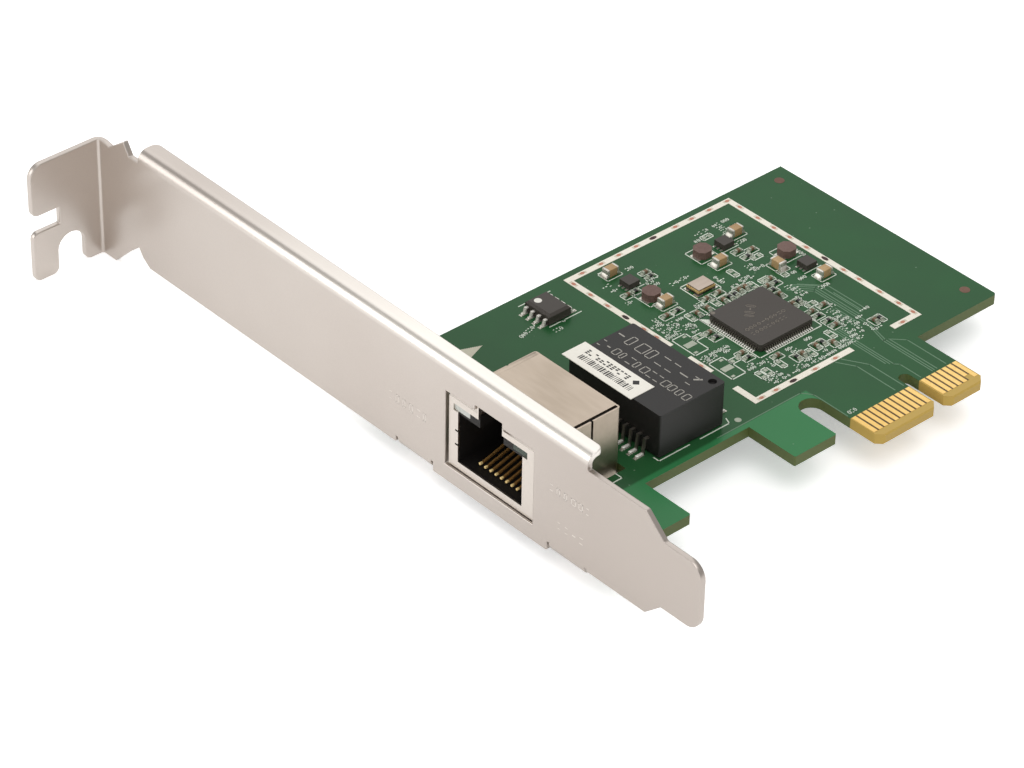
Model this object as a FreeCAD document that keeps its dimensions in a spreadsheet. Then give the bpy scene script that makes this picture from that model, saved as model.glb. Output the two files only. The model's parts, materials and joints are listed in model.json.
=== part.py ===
"""Single-port network interface card with a full-height bracket, as a parametric document.

Millimetres, +Z up from the component side of the board. The origin is the edge connector's datum:
X = 0 at the middle of the key notch, Y = 0 where the fingers' lead-in starts, Z = 0 at the board's
component face. +X runs from the bracket to the card's free end, +Y from the bracket's tongue
to its screw flange.
"""
import FreeCAD
import Part
import Sketcher
import os
import re

from FreeCAD import Vector

doc = FreeCAD.newDocument("network_card")
sheet = doc.addObject("Spreadsheet::Sheet", "Sizes")

# Driving dimensions: alias, value, what it is.
SIZES = [
    # board
    ("board_thickness", 1.57, "board thickness"),
    ("board_near", -55.4, "X of the board's edge behind the bracket"),
    ("board_far", 23.65, "X of the board's free edge"),
    ("board_top", 53.74, "Y of the board's long upper edge"),
    ("far_bottom", 11.92, "Y of the lower edge beyond the fingers"),
    ("near_bottom", 12.04, "Y of the lower edge between the two tabs"),
    ("far_corner_cut", 0.3, "chamfer on the board's free lower corner"),
    ("finger_low", -0.72, "Y of the finger blocks' leading edge"),
    ("finger_start", -12.0, "X where the long finger block starts"),
    ("finger_end", 8.05, "X where the short finger block ends"),
    ("finger_corner_cut", 1.0, "chamfer on the finger blocks' corners"),
    ("finger_bevel", 0.2, "lead-in bevel along the fingers' leading edge"),
    ("notch_width", 1.9, "width of the key notch"),
    ("notch_top", 7.3, "Y of the key notch's round end"),
    ("relief_width", 3.8, "width of the round-ended relief beside the fingers"),
    ("relief_top", 11.7, "Y of the relief's round end"),
    ("tail_width", 7.6, "width of the retainer tab beside the relief"),
    ("tail_bottom", 3.53, "Y of the retainer tab's lower edge"),
    ("tail_corner_cut", 0.15, "chamfer on the retainer tab's corners"),
    ("foot_end", -42.0, "X where the foot under the bracket ends"),
    ("foot_bottom", 3.57, "Y of that foot's lower edge"),
    # gold fingers
    ("pad_pitch", 1.0, "finger pitch"),
    ("pad_width", 0.7, "finger width"),
    ("pad_low", 0.6, "Y of the fingers' lower ends"),
    ("pad_short_low", 1.5, "Y of the short presence-detect finger"),
    ("pad_high", 4.7, "Y of the fingers' upper ends"),
    ("pad_first", 1.5, "distance from the notch's middle to the first finger"),
    ("pad_thickness", 0.04, "plating thickness"),
    ("long_pads", 11, "fingers in the long block"),
    ("short_pads", 7, "fingers in the short block"),
    # bracket plate
    ("sheet_thickness", 0.86, "bracket sheet"),
    ("plate_face", -57.16, "X of the plate's outer face"),
    ("bend_inner", 0.45, "inner radius of the flange's and the tabs' bends"),
    ("lip_bend", 0.85, "inner radius of the lip's bend"),
    ("tongue_tip", -13.66, "Y of the tongue's tip"),
    ("bracket_length", 120.02, "tongue tip to the flange's seat"),
    ("plate_low", -3.75, "Z of the plate's lower edge"),
    ("plate_width", 18.42, "plate width over the lip"),
    ("shoulder_low", -3.25, "Z of the lower edge beside the tongue"),
    ("shoulder_top", 12.4, "Z of the upper edge beside the tongue"),
    ("land_low", -4.25, "Z of the lower edge under the jack"),
    ("tongue_low", -0.8, "Z of the tongue's lower edge"),
    ("tongue_width", 10.19, "tongue width"),
    ("tongue_low_start", -6.88, "Y where the tongue starts, lower edge"),
    ("tongue_high_start", -7.0, "Y where the tongue starts, upper edge"),
    ("shoulder_start", -4.1, "Y where the full width starts"),
    ("tongue_corner", 2.3, "radius of the tongue's corners"),
    # bracket lip
    ("lip_start", 6.9, "Y of the lip's lower end"),
    ("lip_end_inset", 8.8, "from the lip's upper end to the flange's seat"),
    ("lip_depth", 2.75, "depth of the lip's lower end from the plate's outer face"),
    ("lip_depth_high", 3.45, "depth of its upper end from the plate's outer face"),
    ("lip_corner", 1.0, "radius of the lip's free corners"),
    # bracket's upper end and flange
    ("collar_low", -6.4, "Z of the flange end's lower edge"),
    ("collar_top", 12.4, "Z of the flange end's upper edge"),
    ("flange_reach", 11.75, "flange depth from the plate's outer face"),
    ("flange_corner", 2.2, "radius of the flange's outer corner"),
    ("clip_top", 4.2, "Z of the side notch's upper edge"),
    ("clip_low", 1.5, "Z of the side notch's lower edge"),
    ("clip_depth", 4.6, "depth of the side notch"),
    ("screw_slot_width", 4.5, "width of the flange's screw slot"),
    ("screw_slot_offset", 5.36, "screw slot's middle from the plate's outer face"),
    ("screw_slot_top", -0.7, "Z of the screw slot's round end"),
    ("hook_corner", 1.1, "radius of the flange's lower corners"),
    # bracket tabs
    ("tab_width", 6.6, "width of a mounting tab"),
    ("tab_upper", 39.7, "Y of the upper tab's middle"),
    ("tab_lower", 10.3, "Y of the lower tab's middle"),
    ("tab_reach", 11.0, "tab length from the plate's outer face"),
    ("tab_relief", 0.4, "width of the cuts beside a tab"),
    ("tab_relief_top", -2.85, "Z of the top of those cuts"),
    ("boss_radius", 2.4, "radius of the raised boss on a tab"),
    ("screw_reach", 6.7, "screw's distance from the plate's outer face"),
    # bracket screws
    ("screw_radius", 1.3, "shank radius"),
    ("thread_clearance", 0.05, "radial clearance in the boss"),
    ("screw_hole_clearance", 0.3, "radial clearance in the board"),
    ("screw_head_radius", 2.4, "head radius"),
    ("screw_head_height", 1.5, "head height"),
    ("screw_recess_width", 0.6, "width of the head's cross recess"),
    # jack
    ("jack_middle", 25.2, "Y of the jack's middle"),
    ("jack_width", 16.2, "jack width"),
    ("jack_nose", 0.45, "how far the jack's front enters the plate's window"),
    ("jack_depth", 14.85, "jack depth"),
    ("jack_low", -1.6, "Z of the jack's underside"),
    ("jack_height", 10.85, "jack height"),
    ("jack_rounding", 0.4, "rounding of the shield's rear upright edges"),
    ("window_side_gap", 0.35, "gap beside the jack in the plate's window"),
    ("window_low_gap", 0.15, "gap under the jack in the plate's window"),
    ("window_top_gap", 0.65, "gap over the jack in the plate's window"),
    ("cutout_side_gap", 1.15, "gap beside the jack in the board's cut-out"),
    ("cutout_back_gap", 0.2, "gap behind the jack in the board's cut-out"),
    ("shield_sheet", 0.25, "shield sheet"),
    ("shield_gap", 0.5, "width of the gaps between the shield's top and its sides"),
    ("shield_seam", 0.36, "width of the shield's upright seams"),
    ("seam_start", 7.2, "from the jack's front to the gaps along its top edges"),
    ("seam_drop", 9.75, "from the jack's front to the upright seams"),
    ("seam_length", 6.0, "length of the upright seams"),
    ("shield_play", 0.05, "play between shield and housing"),
    ("ear_start", 6.5, "from the jack's front to its soldered ears"),
    ("ear_length", 2.0, "ear length along X"),
    ("ear_reach", 1.05, "how far an ear reaches over the board"),
    ("port_middle", 25.4, "Y of the port's middle"),
    ("cavity_width", 12.3, "plug cavity width"),
    ("cavity_low", -0.5, "Z of the plug cavity's floor"),
    ("cavity_high", 6.95, "Z of the plug cavity's ceiling"),
    ("cavity_depth", 11.6, "plug cavity depth from the jack's front"),
    ("key_width", 4.5, "width of the latch groove"),
    ("key_cut", 0.7, "chamfer on the latch groove's upper corners"),
    ("key_rise", 1.35, "height of the shield's raised strip over the groove"),
    ("key_length", 2.4, "length of that strip"),
    ("groove_length", 7.0, "length of the latch groove in the housing"),
    ("key_window_gap", 0.1, "gap round that strip in the plate's window"),
    ("lamp_width", 2.9, "width of a status window"),
    ("lamp_height", 1.05, "height of a status window"),
    ("lamp_depth", 6.0, "depth of a status light pipe"),
    ("lamp_margin", 1.05, "from a side of the jack to its status window"),
    ("lamp_wall", 0.4, "wall between the cavity and a status window"),
    ("lamp_play", 0.05, "play round a status light pipe"),
    ("rim_slit_width", 0.28, "width of the slits in the shield's front rim"),
    ("rim_slit_depth", 0.55, "depth of those slits"),
    ("rim_slit_low", 2.0, "Z of the lower slit"),
    ("rim_slit_pitch", 2.2, "distance between the slits"),
    ("contact_pitch", 1.02, "jack contact pitch"),
    ("contact_width", 0.28, "jack contact width"),
    ("contact_front", 1.5, "from the jack's front to the contact tips"),
    ("contact_low", -0.25, "Z of the contact tips"),
    ("contact_rise", 2.3, "rise of the contacts towards the back"),
    ("contact_play", 0.05, "play round a contact in the rear wall"),
    ("jack_lead_width", 0.5, "width of the jack's solder leads"),
    ("jack_lead_pitch", 1.27, "pitch of the jack's solder leads"),
    ("jack_lead_reach", 1.3, "how far they reach behind the jack"),
    ("jack_lead_thickness", 0.2, "thickness of the jack's solder leads"),
    ("jack_lead_gap", 0.3, "gap round the leads in the shield's rear opening"),
    # magnetics module
    ("magnetics_offset", 10.5, "from the jack's back to the module's middle"),
    ("magnetics_y", 23.35, "Y of the module's middle"),
    ("magnetics_depth", 11.6, "module size along X"),
    ("magnetics_length", 17.5, "module size along Y"),
    ("magnetics_top", 6.85, "Z of the module's top"),
    ("magnetics_gap", 0.25, "gap under the module"),
    ("magnetics_edge", 0.35, "rounding of the module's edges"),
    ("magnetics_pitch", 1.27, "module lead pitch"),
    ("magnetics_leads_side", 12, "leads on each long side"),
    ("magnetics_lead_shift", 0.3, "Y of the lead rows' middle from the module's middle"),
    ("magnetics_lead_reach", 2.1, "from the module's side to the lead tips"),
    ("magnetics_lead_heel", 0.75, "from the module's side to the lead heels"),
    ("magnetics_lead_exit", 2.3, "Z where the leads leave the module"),
    ("magnetics_lead_thickness", 0.25, "module lead thickness"),
    ("magnetics_lead_width", 0.4, "module lead width"),
    ("magnetics_mark", 0.6, "radius of the module's corner mark"),
    ("magnetics_mark_inset", 1.2, "from the module's sides to that mark's middle"),
    ("magnetics_mark_depth", 0.5, "depth of that mark"),
    # controller
    ("controller_x", -5.65, "X of the controller's middle"),
    ("controller_y", 27.95, "Y of the controller's middle"),
    ("controller_size", 10.0, "controller body size"),
    ("controller_top", 1.15, "Z of the controller's top"),
    ("controller_gap", 0.1, "gap under the controller"),
    ("controller_cut", 0.25, "chamfer on the controller's corners"),
    ("controller_pitch", 0.4, "controller lead pitch"),
    ("controller_leads_side", 22, "leads on each side"),
    ("controller_lead_reach", 0.7, "from the controller's side to the lead tips"),
    ("controller_lead_heel", 0.25, "from the controller's side to the lead heels"),
    ("controller_lead_exit", 0.45, "Z where the leads leave the controller"),
    ("controller_lead_thickness", 0.12, "controller lead thickness"),
    ("controller_lead_width", 0.18, "controller lead width"),
    # memory
    ("memory_x", -26.0, "X of the memory chip's middle"),
    ("memory_y", 48.25, "Y of the memory chip's middle"),
    ("memory_depth", 3.9, "memory chip size along X"),
    ("memory_length", 4.9, "memory chip size along Y"),
    ("memory_top", 1.7, "Z of the memory chip's top"),
    ("memory_gap", 0.15, "gap under the memory chip"),
    ("memory_cut", 0.35, "chamfer round the memory chip's top"),
    ("memory_pitch", 1.27, "memory lead pitch"),
    ("memory_leads_side", 4, "leads on each side"),
    ("memory_lead_reach", 1.05, "from the memory chip's side to the lead tips"),
    ("memory_lead_heel", 0.5, "from the memory chip's side to the lead heels"),
    ("memory_lead_exit", 0.75, "Z where the leads leave the memory chip"),
    ("memory_lead_thickness", 0.2, "memory lead thickness"),
    ("memory_lead_width", 0.42, "memory lead width"),
    # crystal
    ("crystal_x", -6.1, "X of the crystal's middle"),
    ("crystal_y", 39.15, "Y of the crystal's middle"),
    ("crystal_length", 3.2, "crystal size along X"),
    ("crystal_depth", 2.5, "crystal size along Y"),
    ("crystal_base_height", 0.55, "ceramic base height"),
    ("crystal_lid_height", 0.25, "metal lid height"),
    ("crystal_lid_inset", 0.12, "lid's inset from the base"),
    # power parts
    ("inductor_size", 2.5, "inductor size across its flats"),
    ("inductor_cut", 0.65, "chamfer on the inductor's corners"),
    ("inductor_height", 1.15, "inductor height"),
    ("regulator_size", 1.95, "regulator size"),
    ("regulator_height", 0.9, "regulator height"),
    ("bulk_length", 2.0, "large capacitor length"),
    ("bulk_width", 1.25, "large capacitor width and height"),
    ("chip_length", 1.0, "small chip part length"),
    ("chip_width", 0.5, "small chip part width"),
    ("chip_capacitor_height", 0.5, "small capacitor height"),
    ("chip_resistor_height", 0.35, "small resistor height"),
    # label and tinned strips
    ("label_width", 4.2, "label size along X"),
    ("label_length", 13.2, "label size along Y"),
    ("label_thickness", 0.1, "label thickness"),
    ("label_side_overhang", 0.4, "label's overhang past the module's long side"),
    ("label_end_overhang", 0.85, "label's overhang past the module's end"),
    ("fence_left", -18.7, "X of the shield fence's left strip"),
    ("fence_right", 11.75, "X of the shield fence's right strip"),
    ("fence_low", 15.6, "Y of the shield fence's lower strip"),
    ("fence_high", 52.1, "Y of the shield fence's upper strip"),
    ("fence_width", 1.0, "strip width"),
    ("fence_thickness", 0.06, "strip thickness"),
    ("fence_first_stop", 3.9, "from the lower strip to the end of the left strip's first part"),
    ("fence_second_start", 8.4, "from the lower strip to the start of its second part"),
    ("fence_second_stop", 12.8, "from the lower strip to the end of its second part"),
    ("fence_third_start", 16.2, "from the lower strip to the start of its third part"),
    ("fence_low_stop", 18.0, "from the left strip to the end of the lower strip's first part"),
    ("fence_low_start", 4.7, "from the right strip to the start of the lower strip's second part"),
]

for row, (alias, value, meaning) in enumerate(SIZES, start=1):
    sheet.set(f"A{row}", meaning)
    sheet.set(f"B{row}", str(value))
    sheet.setAlias(f"B{row}", alias)
doc.recompute()
ALIASES = {alias for alias, _, _ in SIZES}


# ---------------------------------------------------------------- helpers
def size(alias):
    """The number in one cell of the sheet."""
    return float(sheet.get(alias))


def expr(text):
    """An expression in which each alias points at its cell."""
    def cell(match):
        word = match.group(0)
        return f"Sizes.{word}" if word in ALIASES else word
    return re.sub(r"[a-z][a-z_0-9]*", cell, str(text))


def number(text):
    """What an expression comes to with the sheet's present numbers."""
    result = sheet.evalExpression(expr(text))
    return float(getattr(result, "Value", result))


def bind(item, **formulas):
    """Ties an object's properties to expressions; dots in a property's name are double underscores."""
    for name, text in formulas.items():
        item.setExpression(name.replace("__", "."), expr(text))
    return item


def place(item, x, y, z):
    """Ties an object's place to three expressions."""
    for axis, text in zip("xyz", (x, y, z)):
        item.setExpression(f"Placement.Base.{axis}", expr(text))
    return item


def block(name, low, span):
    """A box from its lowest corner and its three sides, all expressions."""
    box = doc.addObject("Part::Box", name)
    bind(box, Length=span[0], Width=span[1], Height=span[2])
    return place(box, *low)


def block_on(name, middle_x, middle_y, low_z, span):
    """A box from the middle of its base and its three sides."""
    return block(name, (f"{middle_x} - ({span[0]}) / 2", f"{middle_y} - ({span[1]}) / 2", low_z), span)


def fuse(name, pieces):
    """One solid from several that touch."""
    joined = doc.addObject("Part::MultiFuse", name)
    joined.Shapes = pieces
    joined.Refine = True
    return joined


def cut(name, base, tools):
    """A solid less its tools."""
    result = doc.addObject("Part::Cut", name)
    result.Base = base
    result.Tool = tools[0] if len(tools) == 1 else fuse(name + "_tools", tools)
    return result


def group(name, shapes):
    """A node of separate, alike solids, built from the sheet's numbers."""
    feature = doc.addObject("Part::Feature", name)
    feature.Shape = Part.makeCompound(shapes)
    return feature


def new_body(name):
    return doc.addObject("PartDesign::Body", name)


def plane_of(body, role):
    return next(item for item in body.Origin.OriginFeatures if item.Role == role)


def outline(body, name, role, offset, corners):
    """A sketch of straight lines through corners (pairs of expressions), on a plane moved by offset."""
    sketch = body.newObject("Sketcher::SketchObject", name)
    sketch.AttachmentSupport = (plane_of(body, role), [""])
    sketch.MapMode = "FlatFace"
    bind(sketch, AttachmentOffset__Base__z=offset)
    points = [Vector(number(x), number(y), 0) for x, y in corners]
    count = len(points)
    lines = [Part.LineSegment(points[i], points[(i + 1) % count]) for i in range(count)]
    sketch.addGeometry(lines, False)
    sketch.addConstraint([Sketcher.Constraint("Coincident", i, 2, (i + 1) % count, 1) for i in range(count)])
    for i, (x, y) in enumerate(corners):
        for kind, text in (("DistanceX", x), ("DistanceY", y)):
            index = sketch.addConstraint(Sketcher.Constraint(kind, -1, 1, i, 1, number(text)))
            label = f"{kind}_{i}"
            sketch.renameConstraint(index, label)
            sketch.setExpression(f"Constraints.{label}", expr(text))
    return sketch


def ring(body, name, role, offset, x, y, radius):
    """A sketch of one circle."""
    sketch = body.newObject("Sketcher::SketchObject", name)
    sketch.AttachmentSupport = (plane_of(body, role), [""])
    sketch.MapMode = "FlatFace"
    bind(sketch, AttachmentOffset__Base__z=offset)
    centre = Vector(number(x), number(y), 0)
    sketch.addGeometry(Part.Circle(centre, Vector(0, 0, 1), number(radius)), False)
    for label, text, constraint in (
        ("Middle_x", x, Sketcher.Constraint("DistanceX", -1, 1, 0, 3, centre.x)),
        ("Middle_y", y, Sketcher.Constraint("DistanceY", -1, 1, 0, 3, centre.y)),
        ("Size", radius, Sketcher.Constraint("Radius", 0, number(radius))),
    ):
        sketch.renameConstraint(sketch.addConstraint(constraint), label)
        sketch.setExpression(f"Constraints.{label}", expr(text))
    return sketch


def pad(body, sketch, length, reverse=False):
    """Adds material along the sketch's normal, or against it."""
    feature = body.newObject("PartDesign::Pad", sketch.Name + "_pad")
    feature.Profile = (sketch, [""])
    feature.Reversed = reverse
    return bind(feature, Length=length)


def pocket(body, sketch, length, reverse=False):
    """Takes material away against the sketch's normal, or along it."""
    feature = body.newObject("PartDesign::Pocket", sketch.Name + "_pocket")
    feature.Profile = (sketch, [""])
    feature.Reversed = reverse
    return bind(feature, Length=length)


def edges_through(shape, points):
    """Names of the edges that pass through the given points."""
    names = []
    for point in points:
        vertex = Part.Vertex(Vector(*[number(text) for text in point]))
        gaps = [edge.distToShape(vertex)[0] for edge in shape.Edges]
        names.append(f"Edge{gaps.index(min(gaps)) + 1}")
    return names


def round_edges(body, name, radius, points, kind="Fillet"):
    """Rounds, or chamfers, the edges of the body's last feature that pass through the points."""
    doc.recompute()
    base = body.Tip
    feature = body.newObject(f"PartDesign::{kind}", name)
    feature.Base = (base, sorted(set(edges_through(base.Shape, points))))
    return bind(feature, **{"Radius" if kind == "Fillet" else "Size": radius})


# ---------------------------------------------------------------- board
JACK_FRONT = "(plate_face + sheet_thickness - jack_nose)"
JACK_BACK = f"({JACK_FRONT} + jack_depth)"
JACK_TOP = "(jack_low + jack_height)"
CUTOUT_BACK = f"({JACK_BACK} + cutout_back_gap)"
CUTOUT_LOW = "(jack_middle - jack_width / 2 - cutout_side_gap)"
CUTOUT_HIGH = "(jack_middle + jack_width / 2 + cutout_side_gap)"
BOARD_UNDER = "(0 - board_thickness)"
TAIL_START = "(finger_start - relief_width - tail_width)"
TAIL_END = "(finger_start - relief_width)"
SCREW_X = "(plate_face + screw_reach)"
TAB_MIDDLES = ("tab_upper", "tab_lower")


def make_board():
    body = new_body("circuit_board")
    notch = "notch_width / 2"
    corner = "finger_low + finger_corner_cut"
    sketch = outline(body, "board_outline", "XY_Plane", "0", [
        ("board_near", "board_top"),
        ("board_near", CUTOUT_HIGH),
        (CUTOUT_BACK, CUTOUT_HIGH),
        (CUTOUT_BACK, CUTOUT_LOW),
        ("board_near", CUTOUT_LOW),
        ("board_near", "foot_bottom + tail_corner_cut"),
        ("board_near + tail_corner_cut", "foot_bottom"),
        ("foot_end - tail_corner_cut", "foot_bottom"),
        ("foot_end", "foot_bottom + tail_corner_cut"),
        ("foot_end", "near_bottom"),
        (TAIL_START, "near_bottom"),
        (TAIL_START, "tail_bottom + tail_corner_cut"),
        (f"{TAIL_START} + tail_corner_cut", "tail_bottom"),
        (f"{TAIL_END} - tail_corner_cut", "tail_bottom"),
        (TAIL_END, "tail_bottom + tail_corner_cut"),
        (TAIL_END, "relief_top - relief_width / 2"),
        ("finger_start", "relief_top - relief_width / 2"),
        ("finger_start", corner),
        ("finger_start + finger_corner_cut", "finger_low"),
        (f"0 - {notch} - finger_corner_cut", "finger_low"),
        (f"0 - {notch}", corner),
        (f"0 - {notch}", "notch_top - notch_width / 2"),
        (notch, "notch_top - notch_width / 2"),
        (notch, corner),
        (f"{notch} + finger_corner_cut", "finger_low"),
        ("finger_end - finger_corner_cut", "finger_low"),
        ("finger_end", corner),
        ("finger_end", "far_bottom"),
        ("board_far - far_corner_cut", "far_bottom"),
        ("board_far", "far_bottom + far_corner_cut"),
        ("board_far", "board_top"),
    ])
    pad(body, sketch, "board_thickness", reverse=True)
    for name, x, y, radius in (
        ("notch_end", "0", "notch_top - notch_width / 2", notch),
        ("relief_end", f"{TAIL_END} + relief_width / 2", "relief_top - relief_width / 2", "relief_width / 2"),
    ):
        pocket(body, ring(body, name, "XY_Plane", "0", x, y, radius), "board_thickness")
    for index, middle in enumerate(TAB_MIDDLES, start=1):
        hole = ring(body, f"screw_hole_{index}", "XY_Plane", "0", SCREW_X, middle,
                    "screw_radius + screw_hole_clearance")
        pocket(body, hole, "board_thickness")
    lead_in = []
    for level in ("0", BOARD_UNDER):
        for x in ("finger_start / 2", "finger_end / 2"):
            lead_in.append((x, "finger_low", level))
    round_edges(body, "finger_lead_in", "finger_bevel", lead_in, "Chamfer")
    return body


def pad_shapes(under):
    """The gold fingers on one face of the board."""
    width, thickness = size("pad_width"), size("pad_thickness")
    level = -size("board_thickness") - thickness if under else 0.0
    shapes = []
    for sign, count in ((-1, int(size("long_pads"))), (1, int(size("short_pads")))):
        for index in range(count):
            middle = sign * (size("pad_first") + index * size("pad_pitch"))
            short = sign > 0 and index == count - 2 and not under
            low = size("pad_short_low") if short else size("pad_low")
            corner = Vector(middle - width / 2, low, level)
            shapes.append(Part.makeBox(width, size("pad_high") - low, thickness, corner))
    return shapes


# ---------------------------------------------------------------- bracket
PLATE_BACK = "(plate_face + sheet_thickness)"
LIP_TOP = "(plate_low + plate_width)"
FLANGE_SEAT = "(tongue_tip + bracket_length)"
TAB_LOW = "land_low"
BEND_OUTER = "bend_inner + sheet_thickness"
LIP_END = f"({FLANGE_SEAT} - lip_end_inset)"
COLLAR_START = f"({LIP_END} + 1.9)"
SLOT_MIDDLE = "(plate_face - screw_slot_offset)"
FLANGE_OUT = "(plate_face - flange_reach)"


def tab_edge(middle, side):
    """Y of a tab's edge; side is -1 for its lower edge and 1 for its upper one."""
    return f"({middle} + {side} * tab_width / 2)"


def tab_profile(middle):
    """The plate's lower edge along one tab, with the relief cuts on both sides of it."""
    low, high = tab_edge(middle, -1), tab_edge(middle, 1)
    return [
        (f"{low} - tab_relief", "tab_relief_top"),
        (low, "tab_relief_top"),
        (low, TAB_LOW),
        (high, TAB_LOW),
        (high, "tab_relief_top"),
        (f"{high} + tab_relief", "tab_relief_top"),
    ]


def make_bracket():
    body = new_body("bracket")
    tongue_top = "tongue_low + tongue_width"
    land_start = f"{tab_edge('tab_lower', 1)} + tab_relief"
    land_end = f"{tab_edge('tab_upper', -1)} - tab_relief"
    corners = [
        ("tongue_tip", "tongue_low"),
        ("tongue_low_start", "tongue_low"),
        ("shoulder_start", "shoulder_low"),
        (f"{tab_edge('tab_lower', -1)} - tab_relief", "shoulder_low"),
        *tab_profile("tab_lower"),
        (land_start, "land_low"),
        (land_end, "land_low"),
        *tab_profile("tab_upper"),
        (f"{tab_edge('tab_upper', 1)} + tab_relief", "plate_low"),
        (f"{LIP_END} - 1.85", "plate_low"),
        (f"{LIP_END} - 0.35", "plate_low + 1.1"),
        (f"{LIP_END} + 0.5", "plate_low + 2.35"),
        (f"{LIP_END} + 3.1", "plate_low + 0.2"),
        (f"{LIP_END} + 6.05", "collar_low"),
        (FLANGE_SEAT, "collar_low"),
        (FLANGE_SEAT, "collar_top"),
        (f"{FLANGE_SEAT} - 1.2", "collar_top"),
        (f"{FLANGE_SEAT} - 2.4", "collar_top - 0.2"),
        (f"{LIP_END} + 3.1", LIP_TOP),
        (COLLAR_START, "collar_top + 0.4"),
        (LIP_END, "collar_top + 0.4"),
        (LIP_END, LIP_TOP),
        ("lip_start", LIP_TOP),
        ("lip_start", "shoulder_top"),
        ("shoulder_start + 0.5", "shoulder_top"),
        ("tongue_high_start", tongue_top),
        ("tongue_tip", tongue_top),
    ]
    plate = outline(body, "plate_outline", "YZ_Plane", "plate_face", corners)
    pad(body, plate, "sheet_thickness")

    lip = outline(body, "lip_outline", "XY_Plane", LIP_TOP, [
        ("plate_face", "lip_start"), ("plate_face + lip_depth", "lip_start"),
        ("plate_face + lip_depth_high", LIP_END), ("plate_face", LIP_END)])
    pad(body, lip, "sheet_thickness", reverse=True)
    slot_low = "screw_slot_top - screw_slot_width / 2"
    flange = outline(body, "flange_outline", "XZ_Plane", f"0 - {FLANGE_SEAT}", [
        (PLATE_BACK, "collar_low"),
        (PLATE_BACK, "collar_top"),
        (FLANGE_OUT, "collar_top"),
        (FLANGE_OUT, "clip_top"),
        (f"{FLANGE_OUT} + clip_depth", "clip_top"),
        (f"{FLANGE_OUT} + clip_depth", "clip_low"),
        (FLANGE_OUT, "clip_low"),
        (FLANGE_OUT, "collar_low"),
        (f"{SLOT_MIDDLE} - screw_slot_width / 2", "collar_low"),
        (f"{SLOT_MIDDLE} - screw_slot_width / 2", slot_low),
        (f"{SLOT_MIDDLE} + screw_slot_width / 2", slot_low),
        (f"{SLOT_MIDDLE} + screw_slot_width / 2", "collar_low"),
    ])
    pad(body, flange, "sheet_thickness", reverse=True)
    arch = ring(body, "screw_slot_arch", "XZ_Plane", f"0 - {FLANGE_SEAT}", SLOT_MIDDLE, slot_low,
                "screw_slot_width / 2")
    pocket(body, arch, "sheet_thickness")

    for index, middle in enumerate(TAB_MIDDLES, start=1):
        low, high = tab_edge(middle, -1), tab_edge(middle, 1)
        tab = outline(body, f"tab_outline_{index}", "XY_Plane", TAB_LOW, [
            ("plate_face", low), ("plate_face + tab_reach", low),
            ("plate_face + tab_reach", high), ("plate_face", high)])
        pad(body, tab, "sheet_thickness")
        boss = ring(body, f"tab_boss_{index}", "XY_Plane", f"{TAB_LOW} + sheet_thickness", SCREW_X, middle,
                    "boss_radius")
        pad(body, boss, f"{BOARD_UNDER} - {TAB_LOW} - sheet_thickness")
        bore = ring(body, f"tab_bore_{index}", "XY_Plane", BOARD_UNDER, SCREW_X, middle,
                    "screw_radius + thread_clearance")
        pocket(body, bore, f"{BOARD_UNDER} - {TAB_LOW}")

    low, high = "jack_middle - jack_width / 2 - window_side_gap", "jack_middle + jack_width / 2 + window_side_gap"
    key_half = "(key_width / 2 + shield_sheet + key_window_gap)"
    key_high = f"{JACK_TOP} + key_rise + key_window_gap"
    window = outline(body, "jack_window", "YZ_Plane", PLATE_BACK, [
        (low, "jack_low - window_low_gap"),
        (high, "jack_low - window_low_gap"),
        (high, f"{JACK_TOP} + window_top_gap"),
        (f"port_middle + {key_half}", f"{JACK_TOP} + window_top_gap"),
        (f"port_middle + {key_half}", key_high),
        (f"port_middle - {key_half}", key_high),
        (f"port_middle - {key_half}", f"{JACK_TOP} + window_top_gap"),
        (low, f"{JACK_TOP} + window_top_gap")])
    pocket(body, window, "sheet_thickness")

    middle_of_lip = f"(lip_start + {LIP_END}) / 2"
    outer_bends = [(PLATE_BACK, f"{FLANGE_SEAT} + sheet_thickness", "clip_top")]
    inner_bends = [("plate_face", FLANGE_SEAT, "clip_top")]
    for middle in TAB_MIDDLES:
        outer_bends.append(("plate_face", middle, TAB_LOW))
        inner_bends.append((PLATE_BACK, middle, f"{TAB_LOW} + sheet_thickness"))
    round_edges(body, "inner_bends", "bend_inner", inner_bends)
    round_edges(body, "outer_bends", BEND_OUTER, outer_bends)
    round_edges(body, "lip_inner_bend", "lip_bend",
                [(PLATE_BACK, middle_of_lip, f"{LIP_TOP} - sheet_thickness")])
    round_edges(body, "lip_outer_bend", "lip_bend + sheet_thickness", [("plate_face", middle_of_lip, LIP_TOP)])

    middle_of_sheet = "plate_face + sheet_thickness / 2"
    middle_of_flange = f"{FLANGE_SEAT} + sheet_thickness / 2"
    round_edges(body, "tongue_corners", "tongue_corner", [
        (middle_of_sheet, "tongue_tip", "tongue_low"), (middle_of_sheet, "tongue_tip", tongue_top)])
    round_edges(body, "lip_corners", "lip_corner", [
        ("plate_face + lip_depth", "lip_start", f"{LIP_TOP} - sheet_thickness / 2"),
        ("plate_face + lip_depth_high", LIP_END, f"{LIP_TOP} - sheet_thickness / 2")])
    round_edges(body, "flange_top_corner", "flange_corner", [(FLANGE_OUT, middle_of_flange, "collar_top")])
    round_edges(body, "flange_low_corners", "hook_corner", [
        (FLANGE_OUT, middle_of_flange, "collar_low"),
        (f"{SLOT_MIDDLE} - screw_slot_width / 2", middle_of_flange, "collar_low"),
        (f"{SLOT_MIDDLE} + screw_slot_width / 2", middle_of_flange, "collar_low"),
        (FLANGE_OUT, middle_of_flange, "clip_low"),
        (FLANGE_OUT, middle_of_flange, "clip_top")])
    return body


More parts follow.
